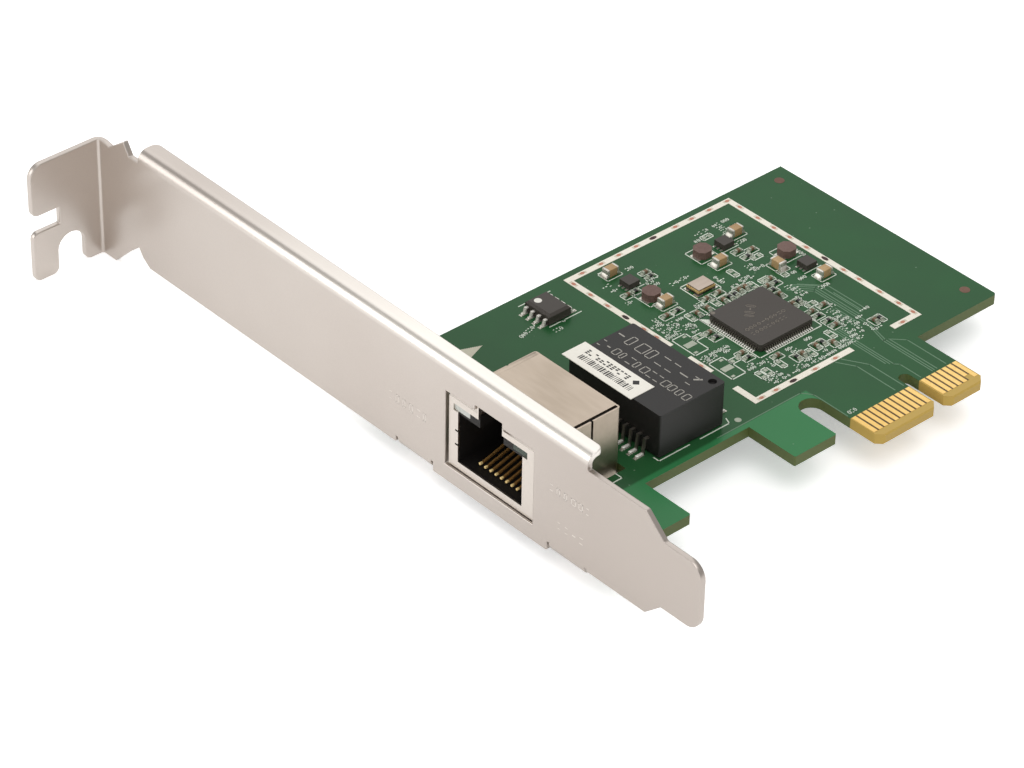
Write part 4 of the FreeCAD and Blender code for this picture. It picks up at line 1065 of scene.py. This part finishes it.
@dataclass
class CircuitBoard:
    """The board: solder mask, traces, print, test pads and corner marks."""

    seed: int = 41
    silk_line: float = 0.17
    trace_line: float = 0.16
    trace_lift: float = 0.008
    widest_finger_gap: float = 1.0
    fiducials: tuple[Point, ...] = ((20.9, 51.2), (21.05, 15.4))
    fiducial_radius: float = 0.75
    test_pad: Point = (-23.43, 14.08)
    test_pad_radius: float = 0.48
    disc_sides: int = 20
    disc_rim: Point = (0.04, 0.006)
    land_gap: float = 0.15
    small_print: Triple = (0.58, 0.52, 0.12)
    arrow_corner: Point = (-11.5, 32.35)
    arrow_steps: int = 8
    arrow_step: float = 0.19
    arrow_reach: float = 1.5
    dash: Numbers = (-14.6, 50.6, -12.2, 50.75)
    wedge_lift: float = 0.01
    wedge_strips: int = 12
    wedge_base: Triple = (-40.7, 47.2, 49.5)
    wedge_tip: Point = (-37.75, 48.3)
    fields: tuple[PrintField, ...] = (
        PrintField((-17.9, 21.6), (-11.7, 37.6)), PrintField((-11.8, 34.5), (3.4, 37.4), share=0.95),
        PrintField((-3.6, 37.6), (5.4, 41.0)), PrintField((0.9, 21.0), (4.9, 36.0), share=0.9),
        PrintField((-14.6, 16.6), (8.4, 21.6)), PrintField((-16.6, 42.6), (-9.0, 50.6), share=0.55),
        PrintField((1.8, 42.6), (9.4, 49.6), share=0.7), PrintField((5.4, 31.6), (10.9, 35.6), share=0.6),
    )
    lines: tuple[tuple[Point, ...], ...] = (
        ((-45.37, 14.78), (-43.47, 14.78), (-43.47, 15.93)), ((-37.4, 15.3), (-37.4, 14.3), (-32.0, 14.3)),
        ((-30.0, 14.3), (-24.8, 14.3), (-24.4, 15.3)), ((-38.1, 33.0), (-38.1, 35.6)),
        ((-28.0, 45.6), (-25.9, 45.6), (-25.6, 45.25), (-25.3, 45.6), (-22.3, 45.6)), ((-28.0, 51.9), (-22.3, 51.9)),
    )
    frames: tuple[tuple[Point, Point], ...] = (((-11.5, 22.1), (0.2, 34.0)), ((-8.3, 37.3), (-3.9, 41.0)))
    traces: tuple[tuple[Point, ...], ...] = (
        ((-28.2, 13.0), (-13.0, 13.0), (-11.9, 11.6), (-11.9, 5.4)),
        ((2.4, 31.2), (5.1, 28.5), (5.1, 18.4)), ((2.9, 31.4), (5.5, 28.8), (5.5, 18.9)),
        ((3.4, 31.6), (5.95, 29.0), (5.95, 20.8)), ((3.9, 31.6), (6.6, 28.9), (6.6, 20.9)),
        ((4.6, 31.2), (7.5, 28.3), (7.5, 20.9)), ((3.6, 23.8), (3.6, 18.4)), ((4.05, 23.8), (4.05, 18.8)),
        ((4.45, 23.8), (4.45, 19.2)), ((0.35, 20.2), (0.35, 10.4)), ((0.75, 20.2), (0.75, 10.0)),
        ((1.15, 20.2), (1.15, 9.6)), ((1.5, 20.0), (1.5, 16.6)), ((1.95, 20.0), (1.95, 16.6)),
        ((5.1, 18.4), (3.9, 14.2), (3.9, 5.2)), ((5.5, 18.9), (4.3, 14.2), (4.3, 5.2)), ((4.8, 14.0), (4.8, 5.2)),
        ((4.9, 13.9), (6.5, 12.3), (6.5, 5.2)), ((1.15, 9.6), (1.7, 9.0), (1.7, 5.2)), ((6.9, 26.5), (6.9, 21.0)),
        ((-3.4, 14.9), (-1.4, 11.6), (-1.4, 5.4)), ((-4.5, 14.9), (-3.0, 12.4), (-3.0, 5.4)),
    )
    greek: tuple[Numbers, ...] = (
        (-32.5, 46.1, -29.0, 47.0), (-28.2, 44.2, -26.8, 44.2), (-8.8, 42.0, -5.0, 42.0), (-16.4, 47.4, -14.8, 47.4),
        (-15.9, 36.0, -15.9, 37.8), (-10.6, 44.8, -8.4, 44.8), (1.0, 47.4, 3.4, 47.4), (5.0, 43.4, 7.2, 43.4),
        (2.4, 37.2, 4.4, 37.2), (10.6, 35.6, 10.6, 37.8), (6.2, 28.3, 8.4, 28.3), (-16.2, 34.6, -14.2, 34.6),
        (-14.7, 18.2, -11.4, 18.2), (-11.0, 19.6, -11.0, 21.4), (-8.9, 16.6, -7.4, 16.6), (-5.6, 16.5, -3.2, 16.5),
        (2.8, 20.0, 2.8, 22.6), (4.9, 24.2, 4.9, 26.0), (2.6, 27.3, 2.6, 29.2), (5.2, 16.9, 5.2, 18.9),
        (-9.9, 35.8, -8.2, 35.8), (-0.9, 36.6, 1.3, 36.6), (-14.6, 26.6, -12.4, 26.6), (-14.6, 33.0, -12.4, 33.0),
        (-2.6, 38.0, -2.6, 40.2), (-17.9, 26.1, -15.4, 26.1), (-17.9, 33.1, -15.4, 33.1), (-11.3, 5.5, -9.9, 5.5),
    )
    lands: tuple[tuple[Land, tuple[Point, ...]], ...] = (
        (Land.COIL, ((-16.45, 30.4), (-16.45, 23.3))),
        (Land.LEVEL, ((3.1, 47.6), (-14.3, 31.0), (-14.3, 24.0), (2.6, 26.6), (5.0, 39.6), (1.9, 34.9))),
        (Land.UPRIGHT, ((-7.0, 35.4), (-12.0, 34.9), (-0.3, 34.9), (4.9, 34.4), (-14.1, 19.2), (-12.9, 19.2),
                        (-5.4, 18.6), (-0.4, 19.9), (-0.3, 38.8), (-10.3, 19.4))),
    )

    def line_print(self) -> list[Stroke]:
        """White lines, frames and the stepped arrow that belong to no single small part.

        Returns:
            The strokes.
        """
        made = [stroke for points in self.lines for stroke in path(points, self.silk_line)]
        made += [stroke for low, high in self.frames for stroke in rectangle(low, high, self.silk_line)]
        x, y = self.arrow_corner
        for step in range(self.arrow_steps):
            rise = step * self.arrow_step
            made.append(bar(x, y + rise, x + self.arrow_reach - rise, y + rise + self.arrow_step))
        return made + [bar(*self.dash)]

    def busy_boxes(self) -> list[Box]:
        """Boxes on the board that the dense print keeps clear of.

        Returns:
            The boxes, with their gaps.
        """
        gaps = {"controller_body": 1.1, "crystal_base": 0.8, "chip_capacitors": 0.5, "chip_resistors": 0.5}
        gaps.update({f"{kind}_{index}": 0.6 for kind in ("inductor", "regulator") for index in (1, 2, 3)})
        gaps.update({f"bulk_capacitor_{index}": 0.7 for index in range(1, 7)})
        boxes = [box.grown(gap) for name, gap in gaps.items() for box in node_islands(name)]
        return boxes + [Box.about(x, y, land.value).grown(self.land_gap) for land, spots in self.lands
                        for x, y in spots]

    def finger_gaps(self) -> list[Stroke]:
        """Dark strips between the front fingers of each block.

        Returns:
            The strokes.
        """
        fingers = node_islands("edge_fingers_front")
        made = []
        for first, second in zip(fingers, fingers[1:]):
            x, gap = (first.high.x + second.low.x) / 2, second.low.x - first.high.x
            if gap < self.widest_finger_gap:
                made.append(Stroke((x, first.low.y), (x, first.high.y), gap))
        return made

    def build(self) -> None:
        """Dresses the board and lays its print, traces and open pads."""
        chance = random.Random(self.seed)
        repainted("circuit_board", "solder_mask_green")
        for node in ("edge_fingers_front", "edge_fingers_back"):
            repainted(node, "gold_plating")
        height, pitch, line = self.small_print
        rows = [GreekRow((x0, y0), (x1, y1), height, pitch, line=line) for x0, y0, x1, y1 in self.greek]
        busy = self.busy_boxes()
        rows += [row for zone in self.fields for row in zone.rows(busy, chance)]
        strokes, pads = self.line_print() + greeked(rows, chance), []
        for land, (x, y) in ((land, spot) for land, spots in self.lands for spot in spots):
            strokes += outline(Box.about(x, y, land.value), 0.0, self.silk_line)
            pads += [bar(x + x0, y + y0, x + x1, y + y1) for x0, y0, x1, y1 in LAND_PADS[land]]
        laid("board_print", strokes, "silk_white", "board")
        laid("open_pads", pads, "pad_dull", "tin", lift=PAD_LIFT)
        laid("finger_gaps", self.finger_gaps(), "finger_gap", "board", lift=PAD_LIFT)
        traces = [stroke for points in self.traces for stroke in path(points, self.trace_line)]
        laid("board_traces", traces, "trace_green", "board", lift=self.trace_lift)
        dressed(self.discs("corner_marks", self.fiducials, self.fiducial_radius), "mark_brown")
        dressed(self.discs("test_pads", [self.test_pad], self.test_pad_radius), "pad_dull")
        laid("pour_wedge", self.wedge(), "wedge_pale", "board", lift=self.wedge_lift)

    def discs(self, name: str, places: Iterable[Point], radius: float) -> Piece:
        """Flat round pads of a radius at some places, modelled once with a chamfered rim.

        Args:
            name: Name of the piece.
            places: Middles of the discs.
            radius: Their radius.

        Returns:
            The piece.
        """
        box = Box.about(0.0, 0.0, (radius * 2, radius * 2), 0.0, PAD_LIFT)
        disc = dished(rough_piece("disc", box, self.disc_sides), *self.disc_rim)
        return copies(name, disc, [Copy(x, y) for x, y in places])

    def wedge(self) -> list[Stroke]:
        """The pale wedge of thin copper by the jack, as a tapering stack of strokes.

        Returns:
            The strokes.
        """
        (base_x, low, high), (tip_x, tip_y) = self.wedge_base, self.wedge_tip
        made = []
        for step in range(self.wedge_strips):
            share = (step + 0.5) / self.wedge_strips
            x0, x1 = (base_x + (tip_x - base_x) * end / self.wedge_strips for end in (step, step + 1))
            made.append(bar(x0, low + (tip_y - low) * share, x1, high + (tip_y - high) * share))
        return made


# ---- bracket
@dataclass
class SlotBracket:
    """The slot bracket, its screws and the faint stamped marks beside the port."""

    seed: int = 7
    edge_radius: float = 0.14
    mark_depth: float = 0.012
    marks: tuple[Row, ...] = (
        ((44.6, 3.9), (36.9, 3.9), 1.1), ((13.6, 6.6), (5.0, 6.6), 0.9), ((12.0, 1.4), (6.4, 1.4), 0.9))

    def build(self) -> None:
        """Dresses the bracket and adds its marks."""
        # The sheet's finish carries painted reflections: a darker -Y end and a lighter lip top.
        dressed(edge_rounded("bracket", self.edge_radius), "bracket_sheet_painted_reflections")
        repainted("bracket_screws", "screw_plating")
        rows = [GreekRow(*mark, pitch=1.35, fill=0.5, line=0.11) for mark in self.marks]
        marks = printed("plate_marks", greeked(rows, random.Random(self.seed)), lift=self.mark_depth)
        marks.rotation_euler = (math.pi / 2, 0, math.pi / 2)
        marks.location.x = (mount_place("bracket_face").x - self.mark_depth) * MM
        # The stamped marks carry a painted highlight.
        dressed(joined("plate_marks", marks), "plate_mark_painted_highlight")


# ---- jack and magnetics
@dataclass
class NetworkJack:
    """The sunk jack: tinned shield, black housing, contacts, lamps and solder."""

    finishes: tuple[Pair, ...] = (
        ("rj45_shield", "shield_tin_sheet_painted_front_light"), ("rj45_housing", "jack_black"), ("rj45_contacts", "contact_gold"),
        ("rj45_leads", "lead_tin"), ("rj45_lamp_left", "lamp_clear"), ("rj45_lamp_right", "lamp_green"))
    fold: tuple[Triple, Triple] = ((-49.7, 32.45, 9.05), (-42.1, 33.2, 9.262))
    fold_rounding: float = 0.04
    tip: tuple[Triple, Triple] = ((-0.05, -0.17, -0.03), (0.5, 0.17, 0.31))
    tip_rounding: float = 0.1
    pad_width: float = 0.75
    pad_inside: float = 0.45
    pad_beyond: float = 0.3

    def build(self) -> None:
        """Dresses the jack and adds its soldered joints."""
        for node, finish in self.finishes:
            repainted(node, finish)
        fold = rough_piece("shield_fold", Box.of(*self.fold))
        # The shield's finish carries painted light on its front face.
        dressed(softened(fold, self.fold_rounding), "shield_tin_sheet_painted_front_light")
        # Small pieces at the contacts' tips carry a painted highlight.
        tip = softened(rough_piece("tip", Box.of(*self.tip)), self.tip_rounding)
        places = [Copy(contact.low.x, contact.middle.y, contact.low.z) for contact in node_islands("rj45_contacts")]
        dressed(copies("contact_tips_painted_highlight", tip, places), "contact_tip_painted_highlight")
        leads = node_islands("rj45_leads")
        pads = [Stroke((lead.low.x + self.pad_inside, lead.middle.y), (lead.high.x + self.pad_beyond, lead.middle.y),
                       self.pad_width) for lead in leads]
        laid("jack_lead_pads", pads, "solder_bright", "tin", lift=PAD_LIFT)
        LeadJoints(pad_beyond=0.25).build("jack_lead", leads, node_box("rj45_shield"))


@dataclass
class MagneticsModule:
    """The moulded magnetics module with its print, leads and paper label."""

    seed: int = 12
    # The module's leads take the darker copy of the lead tin: painted shade.
    finishes: tuple[Pair, ...] = (
        ("magnetics_body", "magnetics_moulding"), ("magnetics_leads", "lead_tin_painted_shade"), ("serial_label", "label_white"))
    joints: LeadJoints = LeadJoints(pad_length=1.7, pad_beyond=0.35, solder_height=0.28, foot_length=1.25,
                                    foot_height=0.34)
    rows: tuple[Row, ...] = (
        ((-29.6, 31.6), (-29.6, 17.2), 1.9), ((-32.4, 31.8), (-32.4, 15.2), 1.3))
    print_pitch: float = 1.02
    print_lift: float = 0.008
    pin_mark: tuple[Point, Point] = ((-28.3, 17.6), (-27.6, 17.0))
    pin_mark_line: float = 0.3
    bars: tuple[Point, Point] = ((-36.6, 21.3), (-35.5, 31.2))
    bar_widths: Numbers = (0.1, 0.18, 0.26, 0.12)
    bar_ends: Numbers = (0.0, 0.0, 0.12)
    bar_gaps: Numbers = (0.12, 0.16, 0.24)
    text: tuple[Point, Point] = ((-35.2, 23.3), (-34.1, 31.0))
    letter: Point = (0.24, 0.46)
    letter_pitch: Point = (0.36, 0.68)
    letter_margin: float = 0.08
    letter_share: float = 0.72
    letters: int = 3
    diamond: Point = (-34.6, 21.95)
    diamond_reach: float = 0.3
    diamond_width: float = 0.85

    def build(self) -> None:
        """Dresses the module and lays its print, label marks and joints."""
        for node, finish in self.finishes:
            repainted(node, finish)
        chance = random.Random(self.seed)
        body = node_box("magnetics_body")
        rows = [GreekRow(start, end, height, height * self.print_pitch, fill=0.66, line=0.13)
                for start, end, height in self.rows]
        strokes = greeked(rows, chance) + path(self.pin_mark, self.pin_mark_line)
        laid("module_print", strokes, "magnetics_ink", "black_plastic", level=body.high.z, lift=self.print_lift)
        laid("label_marks", self.label_print(chance), "label_ink", "black_plastic",
             level=node_box("serial_label").high.z, lift=INK_LIFT)
        self.joints.build("module_lead", node_islands("magnetics_leads"), body)

    def label_print(self, chance: random.Random) -> list[Stroke]:
        """Plain bars, dashes and a diamond for the paper label.

        Args:
            chance: Seeded source of the uneven widths.

        Returns:
            The strokes.
        """
        (left, y), (right, top) = self.bars
        strokes = []
        while y < top:
            width = chance.choice(self.bar_widths)
            strokes.append(bar(left, y, right - chance.choice(self.bar_ends), y + width))
            y += width + chance.choice(self.bar_gaps)
        (left, y), (_, top) = self.text
        while y < top:
            for step in range(self.letters):
                if chance.random() < self.letter_share:
                    x = left + self.letter_margin + step * self.letter_pitch[0]
                    strokes.append(bar(x, y, x + self.letter[0], y + self.letter[1]))
            y += self.letter_pitch[1]
        (x, y), reach = self.diamond, self.diamond_reach
        return strokes + [Stroke((x - reach, y - reach), (x + reach, y + reach), self.diamond_width)]


# ---- chips
@dataclass
class MouldedChip:
    """A moulded chip with formed leads, pads and faint marks on its top."""

    name: str
    joints: LeadJoints
    lead_finish: str
    spot: Point
    spot_radius: float
    spot_finish: str
    rows: tuple[Row, ...] = ()
    spot_height: float = 0.012
    spot_sides: int = 18
    spot_rim: Point = (0.06, 0.004)

    def build(self) -> None:
        """Dresses the chip and adds its marks and joints."""
        repainted(f"{self.name}_body", "chip_moulding")
        repainted(f"{self.name}_leads", self.lead_finish)
        body = node_box(f"{self.name}_body")
        top = body.high.z
        self.joints.build(self.name, node_islands(f"{self.name}_leads"), body)
        if self.rows:
            strokes = greeked([GreekRow(*row, pitch=0.75, line=0.1) for row in self.rows],
                              random.Random(len(self.rows)))
            laid(f"{self.name}_print", strokes, "chip_mark_grey", "chip_resin", level=top, lift=INK_LIFT)
        box = Box.about(*self.spot, (self.spot_radius * 2, self.spot_radius * 2), top, top + self.spot_height)
        spot = rough_piece(f"{self.name}_spot", box, self.spot_sides)
        dressed(dished(spot, *self.spot_rim), self.spot_finish)


@dataclass
class Crystal:
    """The crystal: ceramic base, gold rim, metal lid and its pads."""

    rim_start: float = 0.45
    rim_proud: float = 0.015
    rim_above: float = 0.01
    rim_width: float = 0.1
    rim_rounding: float = 0.05
    pad: Point = (1.1, 0.9)
    pad_inset: Point = (0.2, 0.3)

    def build(self) -> None:
        """Dresses the crystal."""
        repainted("crystal_base", "crystal_ceramic_dark")
        repainted("crystal_lid", "crystal_lid_metal")
        base = node_box("crystal_base")
        step = Vector((self.rim_proud, self.rim_proud, 0))
        low = Vector((*base.low[:2], base.low.z + base.span.z * self.rim_start)) - step
        rim = rough_piece("crystal_rim", Box(low, base.high + step + Vector((0, 0, self.rim_above))))
        dressed(softened(dished(rim, self.rim_width), self.rim_rounding), "crystal_gold_rim")
        (wide, deep), (dx, dy) = self.pad, self.pad_inset
        pads = [bar(x - wide / 2, y - deep / 2, x + wide / 2, y + deep / 2)
                for x in (base.low.x + dx, base.high.x - dx) for y in (base.low.y + dy, base.high.y - dy)]
        laid("crystal_pads", pads, "solder_bright", "tin", lift=PAD_LIFT)


# ---- small parts
@dataclass
class EndedBlock:
    """A two-ended chip part: a ceramic block with metal ends and a bead of solder at each."""

    node: str
    finish: str
    slot: str
    end_length: float
    end_proud: float = 0.02
    rounding: float = 0.06
    block_rounding_share: float = 0.6
    bead_inside: float = 0.1
    bead_beyond: float = 0.35
    bead_wider: float = 0.06
    bead_height: float = 0.6
    bead_top: Point = (0.3, 0.82)
    bead_rounding: float = 0.05
    outline_gap: float = 0.42
    outline_line: float = 0.13
    end_finish: str = "pad_dull"
    bead_finish: str = "pad_dull"

    def build(self) -> None:
        """Makes the blocks, ends, beads and outlines in place of the CAD node."""
        boxes = node_islands(self.node)
        wide, long = sorted(boxes[0].span[:2])
        height = boxes[0].span.z
        places = [Copy(box.middle.x, box.middle.y, turn=0.0 if box.span.x > box.span.y else 90.0) for box in boxes]
        block = rough_piece("block", Box.about(0.0, 0.0, (long - self.end_length, wide), 0.0, height))
        bodies = copies(f"{self.node}_blocks", softened(block, self.rounding * self.block_rounding_share), places)
        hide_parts(self.node)
        dressed(bodies, self.finish)
        ends, beads = [], []
        top = height * self.bead_height
        for sign in (-1, 1):
            end = self.end_box(sign, long / 2 + self.end_proud, long / 2 - self.end_length,
                               wide / 2 + self.end_proud, height + self.end_proud)
            ends.append(softened(rough_piece("end", end), self.rounding))
            inner = long / 2 - self.bead_inside
            bead = rough_piece("bead", self.end_box(sign, long / 2 + self.bead_beyond, inner,
                                                    wide / 2 + self.bead_wider, top))
            beads.append(softened(tapered(bead, self.bead_top, sign * inner, top), self.bead_rounding))
        for kind, pair, finish, slot in (("ends", ends, self.end_finish, self.slot),
                                         ("beads", beads, self.bead_finish, "tin")):
            dressed(copies(f"{self.node}_{kind}", joined(kind, *pair), places), finish)
        strokes = [stroke for box in boxes for stroke in outline(box, self.outline_gap, self.outline_line)]
        laid(f"{self.node}_outlines", strokes, "silk_white", "board")

    @staticmethod
    def end_box(sign: int, outer: float, inner: float, half: float, top: float) -> Box:
        """The box between two distances from the middle, on the side of the sign."""
        near, far = sorted((sign * outer, sign * inner))
        return Box.of((near, -half, 0.0), (far, half, top))


@dataclass
class PowerParts:
    """Inductors and the small regulators with their pads and outlines."""

    coil_pad_half: float = 0.9
    coil_pad_inside: float = 0.5
    coil_pad_beyond: float = 0.3
    coil_gap: float = 0.45
    pin_rows: Numbers = (-0.65, 0.0, 0.65)
    pin_pad_half: float = 0.17
    pin_pad_inside: float = 0.1
    pin_pad_beyond: float = 0.45
    foot_line: Point = (0.6, 0.25)
    line: float = 0.14
    pad_lift: float = 0.03

    @staticmethod
    def pad_pair(box: Box, y: float, half: float, beyond: float, inside: float) -> list[Stroke]:
        """Two pads that reach out from under a box's left and right sides."""
        ends = ((box.low.x - beyond, box.low.x + inside), (box.high.x - inside, box.high.x + beyond))
        return [bar(x0, y - half, x1, y + half) for x0, x1 in ends]

    def build(self) -> None:
        """Dresses the parts and lays their pads and outlines."""
        pads, strokes = [], []
        for index in (1, 2, 3):
            coil, regulator = node_box(f"inductor_{index}"), node_box(f"regulator_{index}")
            repainted(f"inductor_{index}", "ferrite_brown")
            repainted(f"regulator_{index}", "chip_moulding")
            pads += self.pad_pair(coil, coil.middle.y, self.coil_pad_half, self.coil_pad_beyond, self.coil_pad_inside)
            strokes += outline(coil, self.coil_gap, self.line)
            for y in self.pin_rows:
                pads += self.pad_pair(regulator, regulator.middle.y + y, self.pin_pad_half, self.pin_pad_beyond,
                                      self.pin_pad_inside)
            beyond, below = self.foot_line
            y = regulator.low.y - below
            strokes += path([(regulator.low.x - beyond, y), (regulator.high.x + beyond, y)], self.line)
        laid("power_pads", pads, "solder_bright", "tin", lift=self.pad_lift)
        laid("power_outlines", strokes, "silk_white", "board")


@dataclass
class ShieldFence:
    """The tinned strips round the controller with their plated holes.

    The places of the holes are given along the front, back, right and left strips in turn.
    """

    strip: float = 0.45
    gap_reach: float = 0.7
    gap_width: float = 0.5
    hole: Point = (0.76, 0.54)
    opening: Point = (1.24, 0.64)
    heights: Point = (-0.02, 0.014)
    sides: int = 14
    rim_share: float = 0.15
    dish: float = -0.004
    pink: tuple[Numbers, ...] = (
        (-17.7, -15.0, -7.7, -3.9, 9.0), (-16.1, -12.6, -9.3, -6.0, 1.45, 4.6, 8.0, 11.5),
        (49.9, 46.3, 43.1, 40.0, 36.7, 29.5, 26.5, 22.6, 19.0, 16.3), (51.0, 47.6, 44.2, 37.0, 34.5, 25.9))
    dark: tuple[Numbers, ...] = ((-11.8,), (-2.8,), (33.1,), (40.6,))

    def places(self, box: Box, runs: tuple[Numbers, ...]) -> list[Copy]:
        """Where some holes are.

        Args:
            box: The box round the strips.
            runs: Places along the four strips.

        Returns:
            The holes' places, turned along their strips.
        """
        inside = box.grown(-self.strip)
        front, back, right, left = runs
        level = box.high.z
        made = [Copy(x, y, level) for run, y in ((front, inside.low.y), (back, inside.high.y)) for x in run]
        return made + [Copy(x, y, level, 90) for run, x in ((right, inside.high.x), (left, inside.low.x)) for y in run]

    def spots(self, name: str, places: list[Copy], size: Point) -> Piece:
        """Oval dished spots of a size, modelled once and copied."""
        model = rough_piece("spot", Box.about(0.0, 0.0, size, *self.heights), self.sides)
        return copies(name, dished(model, size[1] * self.rim_share, self.dish), places)

    def build(self) -> None:
        """Dresses the strips and sets their holes."""
        repainted("shield_fence", "fence_tinned")
        box = node_box("shield_fence")
        pink, dark = self.places(box, self.pink), self.places(box, self.dark)
        gaps = []
        for spot in pink + dark:
            reach = Vector((0.0, self.gap_reach)) if spot.turn else Vector((self.gap_reach, 0.0))
            middle = Vector((spot.x, spot.y))
            gaps.append(Stroke(tuple(middle - reach), tuple(middle + reach), self.gap_width))
        laid("fence_gaps", gaps, "fence_gap", "tin", level=box.high.z, lift=INK_LIFT)
        dressed(self.spots("fence_holes", pink, self.hole), "copper_pink")
        # The openings are flat spots carrying painted shade for the inside of the holes.
        dressed(self.spots("fence_openings", dark, self.opening), "opening_painted_shade")


# ---- studio
@dataclass
class Studio:
    """Pale floor, soft lights and the camera, with sizes in metres and turns in degrees."""

    camera_place: Triple = (-0.342907, -0.291773, 0.325510)
    camera_turn: Triple = (54.0107, -0.9182, -41.7462)
    lens: float = 147.7
    sensor: float = 36.0
    clip: Point = (0.01, 20.0)
    floor_size: float = 8.0
    floor_rough: float = 0.9
    floor_colour: Rgb = (252, 252, 252)
    floor_glow: float = 0.22
    floor_lift: float = 0.2
    world_colour: Rgb = (250, 248, 245)
    world_strength: float = 0.5
    background_strength: float = 1.0
    target: Triple = (-0.02, 0.045, 0.0)
    # Each lamp's name, place, side and power in watts.
    lamps: tuple[tuple[str, Triple, float, float], ...] = (
        ("overhead_box", (-0.12, -0.2, 0.8), 0.7, 2.6), ("left_box", (-0.75, -0.25, 0.3), 0.7, 1.65),
        ("bend_box", (-0.66, 0.55, 0.3), 0.5, 1.5), ("back_box", (0.32, 0.6, 0.72), 0.85, 1.9))

    def build(self) -> None:
        """Sets the floor, the lights, the world and the camera."""
        self.add_floor()
        self.add_lamps()
        self.add_world()
        camera = bpy.data.cameras.new("camera")
        camera.lens, camera.sensor_width = self.lens, self.sensor
        camera.clip_start, camera.clip_end = self.clip
        held = self.hung("camera", camera, self.camera_place)
        held.rotation_euler = [math.radians(angle) for angle in self.camera_turn]
        bpy.context.scene.camera = held
        bpy.context.scene.view_settings.view_transform = "Standard"

    @staticmethod
    def hung(name: str, data: bpy.types.ID, place: Triple) -> Piece:
        """A new object with this data at a place in the scene.

        Args:
            name: Name of the object.
            data: What it holds.
            place: Where it goes, in metres.

        Returns:
            The object.
        """
        held = bpy.data.objects.new(name, data)
        held.location = place
        bpy.context.scene.collection.objects.link(held)
        return held

    def add_floor(self) -> None:
        """A wide level floor under the card that shows white and keeps the soft shadow."""
        bpy.ops.object.select_all(action="DESELECT")
        bpy.ops.mesh.primitive_plane_add(size=self.floor_size, location=(0, 0, CAD_BOX[0].z))
        floor = bpy.context.object
        floor.name = "floor"
        material = bpy.data.materials.new("floor_pale")
        material.use_nodes = True
        wiring = Wiring(material.node_tree)
        seen, glossy, through = (wiring.rays(f"Is {kind} Ray") for kind in ("Camera", "Glossy", "Transmission"))
        shown = wiring.math("MULTIPLY", wiring.math("MAXIMUM", seen, wiring.math("MAXIMUM", glossy, through)),
                            self.floor_glow)
        wiring.feed(material.node_tree.nodes["Principled BSDF"], {
            "Base Color": linear(self.floor_colour), "Roughness": self.floor_rough, "Specular IOR Level": 0.0,
            "Emission Color": (1, 1, 1, 1),
            "Emission Strength": wiring.math("ADD", shown, wiring.math("MULTIPLY", seen, self.floor_lift))})
        floor.data.materials.append(material)

    def add_lamps(self) -> None:
        """Adds the square lamps, each facing the card."""
        for name, place, size, power in self.lamps:
            data = bpy.data.lights.new(name, "AREA")
            data.shape, data.size, data.energy = "SQUARE", size, power
            lamp = self.hung(name, data, place)
            lamp.rotation_mode = "QUATERNION"
            lamp.rotation_quaternion = (Vector(self.target) - Vector(place)).to_track_quat("-Z", "Y")

    def add_world(self) -> None:
        """An even pale world that shows plain white behind the card."""
        world = bpy.data.worlds.new("studio")
        bpy.context.scene.world = world
        world.use_nodes = True
        wiring = Wiring(world.node_tree)
        strength = wiring.spread(wiring.rays("Is Camera Ray"), 0.0, 1.0, self.world_strength,
                                 self.background_strength)
        wiring.feed(world.node_tree.nodes["Background"], {"Color": linear(self.world_colour), "Strength": strength})


# ---- the card
# The controller's leads take the darker copy of the lead tin: painted shade.
CONTROLLER = MouldedChip(
    "controller", LeadJoints(pad_length=1.0, pad_beyond=0.1, pad_extra_width=0.02, solder_height=0.1,
                             foot_length=0.45, foot_height=0.19),
    lead_finish="lead_tin_painted_shade", spot=(-10.2, 32.6), spot_radius=0.32, spot_finish="chip_mark_grey",
    rows=(((-9.6, 25.4), (-3.0, 25.4), 0.45), ((-9.6, 26.6), (-2.4, 26.6), 0.45), ((-6.6, 28.4), (-4.2, 30.4), 1.3)))
# The memory's leads take the lighter copy of the lead tin: painted highlight.
MEMORY = MouldedChip("memory", LeadJoints(pad_length=1.5, pad_beyond=0.35), lead_finish="lead_tin_painted_highlight",
                     spot=(-26.7, 49.5), spot_radius=0.55, spot_finish="paint_white")


def main() -> None:
    """Builds the studio and the card's looks in order."""
    logging.basicConfig(level=logging.INFO, format="%(name)s: %(message)s")
    PALETTE.update((finish.name, finish.build()) for finish in FINISHES)
    bulk = [EndedBlock(f"bulk_capacitor_{index}", "capacitor_tan", "tan_ceramic", end_length=0.36, rounding=0.1,
                       bead_beyond=0.45, bead_height=0.5, end_finish="lead_tin", bead_finish="solder_bright")
            for index in range(1, 7)]
    for assembly in (Studio(), CircuitBoard(), SlotBracket(), NetworkJack(), MagneticsModule(), CONTROLLER, MEMORY,
                     Crystal(), PowerParts(), *bulk,
                     EndedBlock("chip_capacitors", "capacitor_brown", "tan_ceramic", end_length=0.27),
                     EndedBlock("chip_resistors", "resistor_glaze", "resistor_ceramic", end_length=0.25),
                     ShieldFence()):
        assembly.build()


if __name__ == "__main__":
    main()
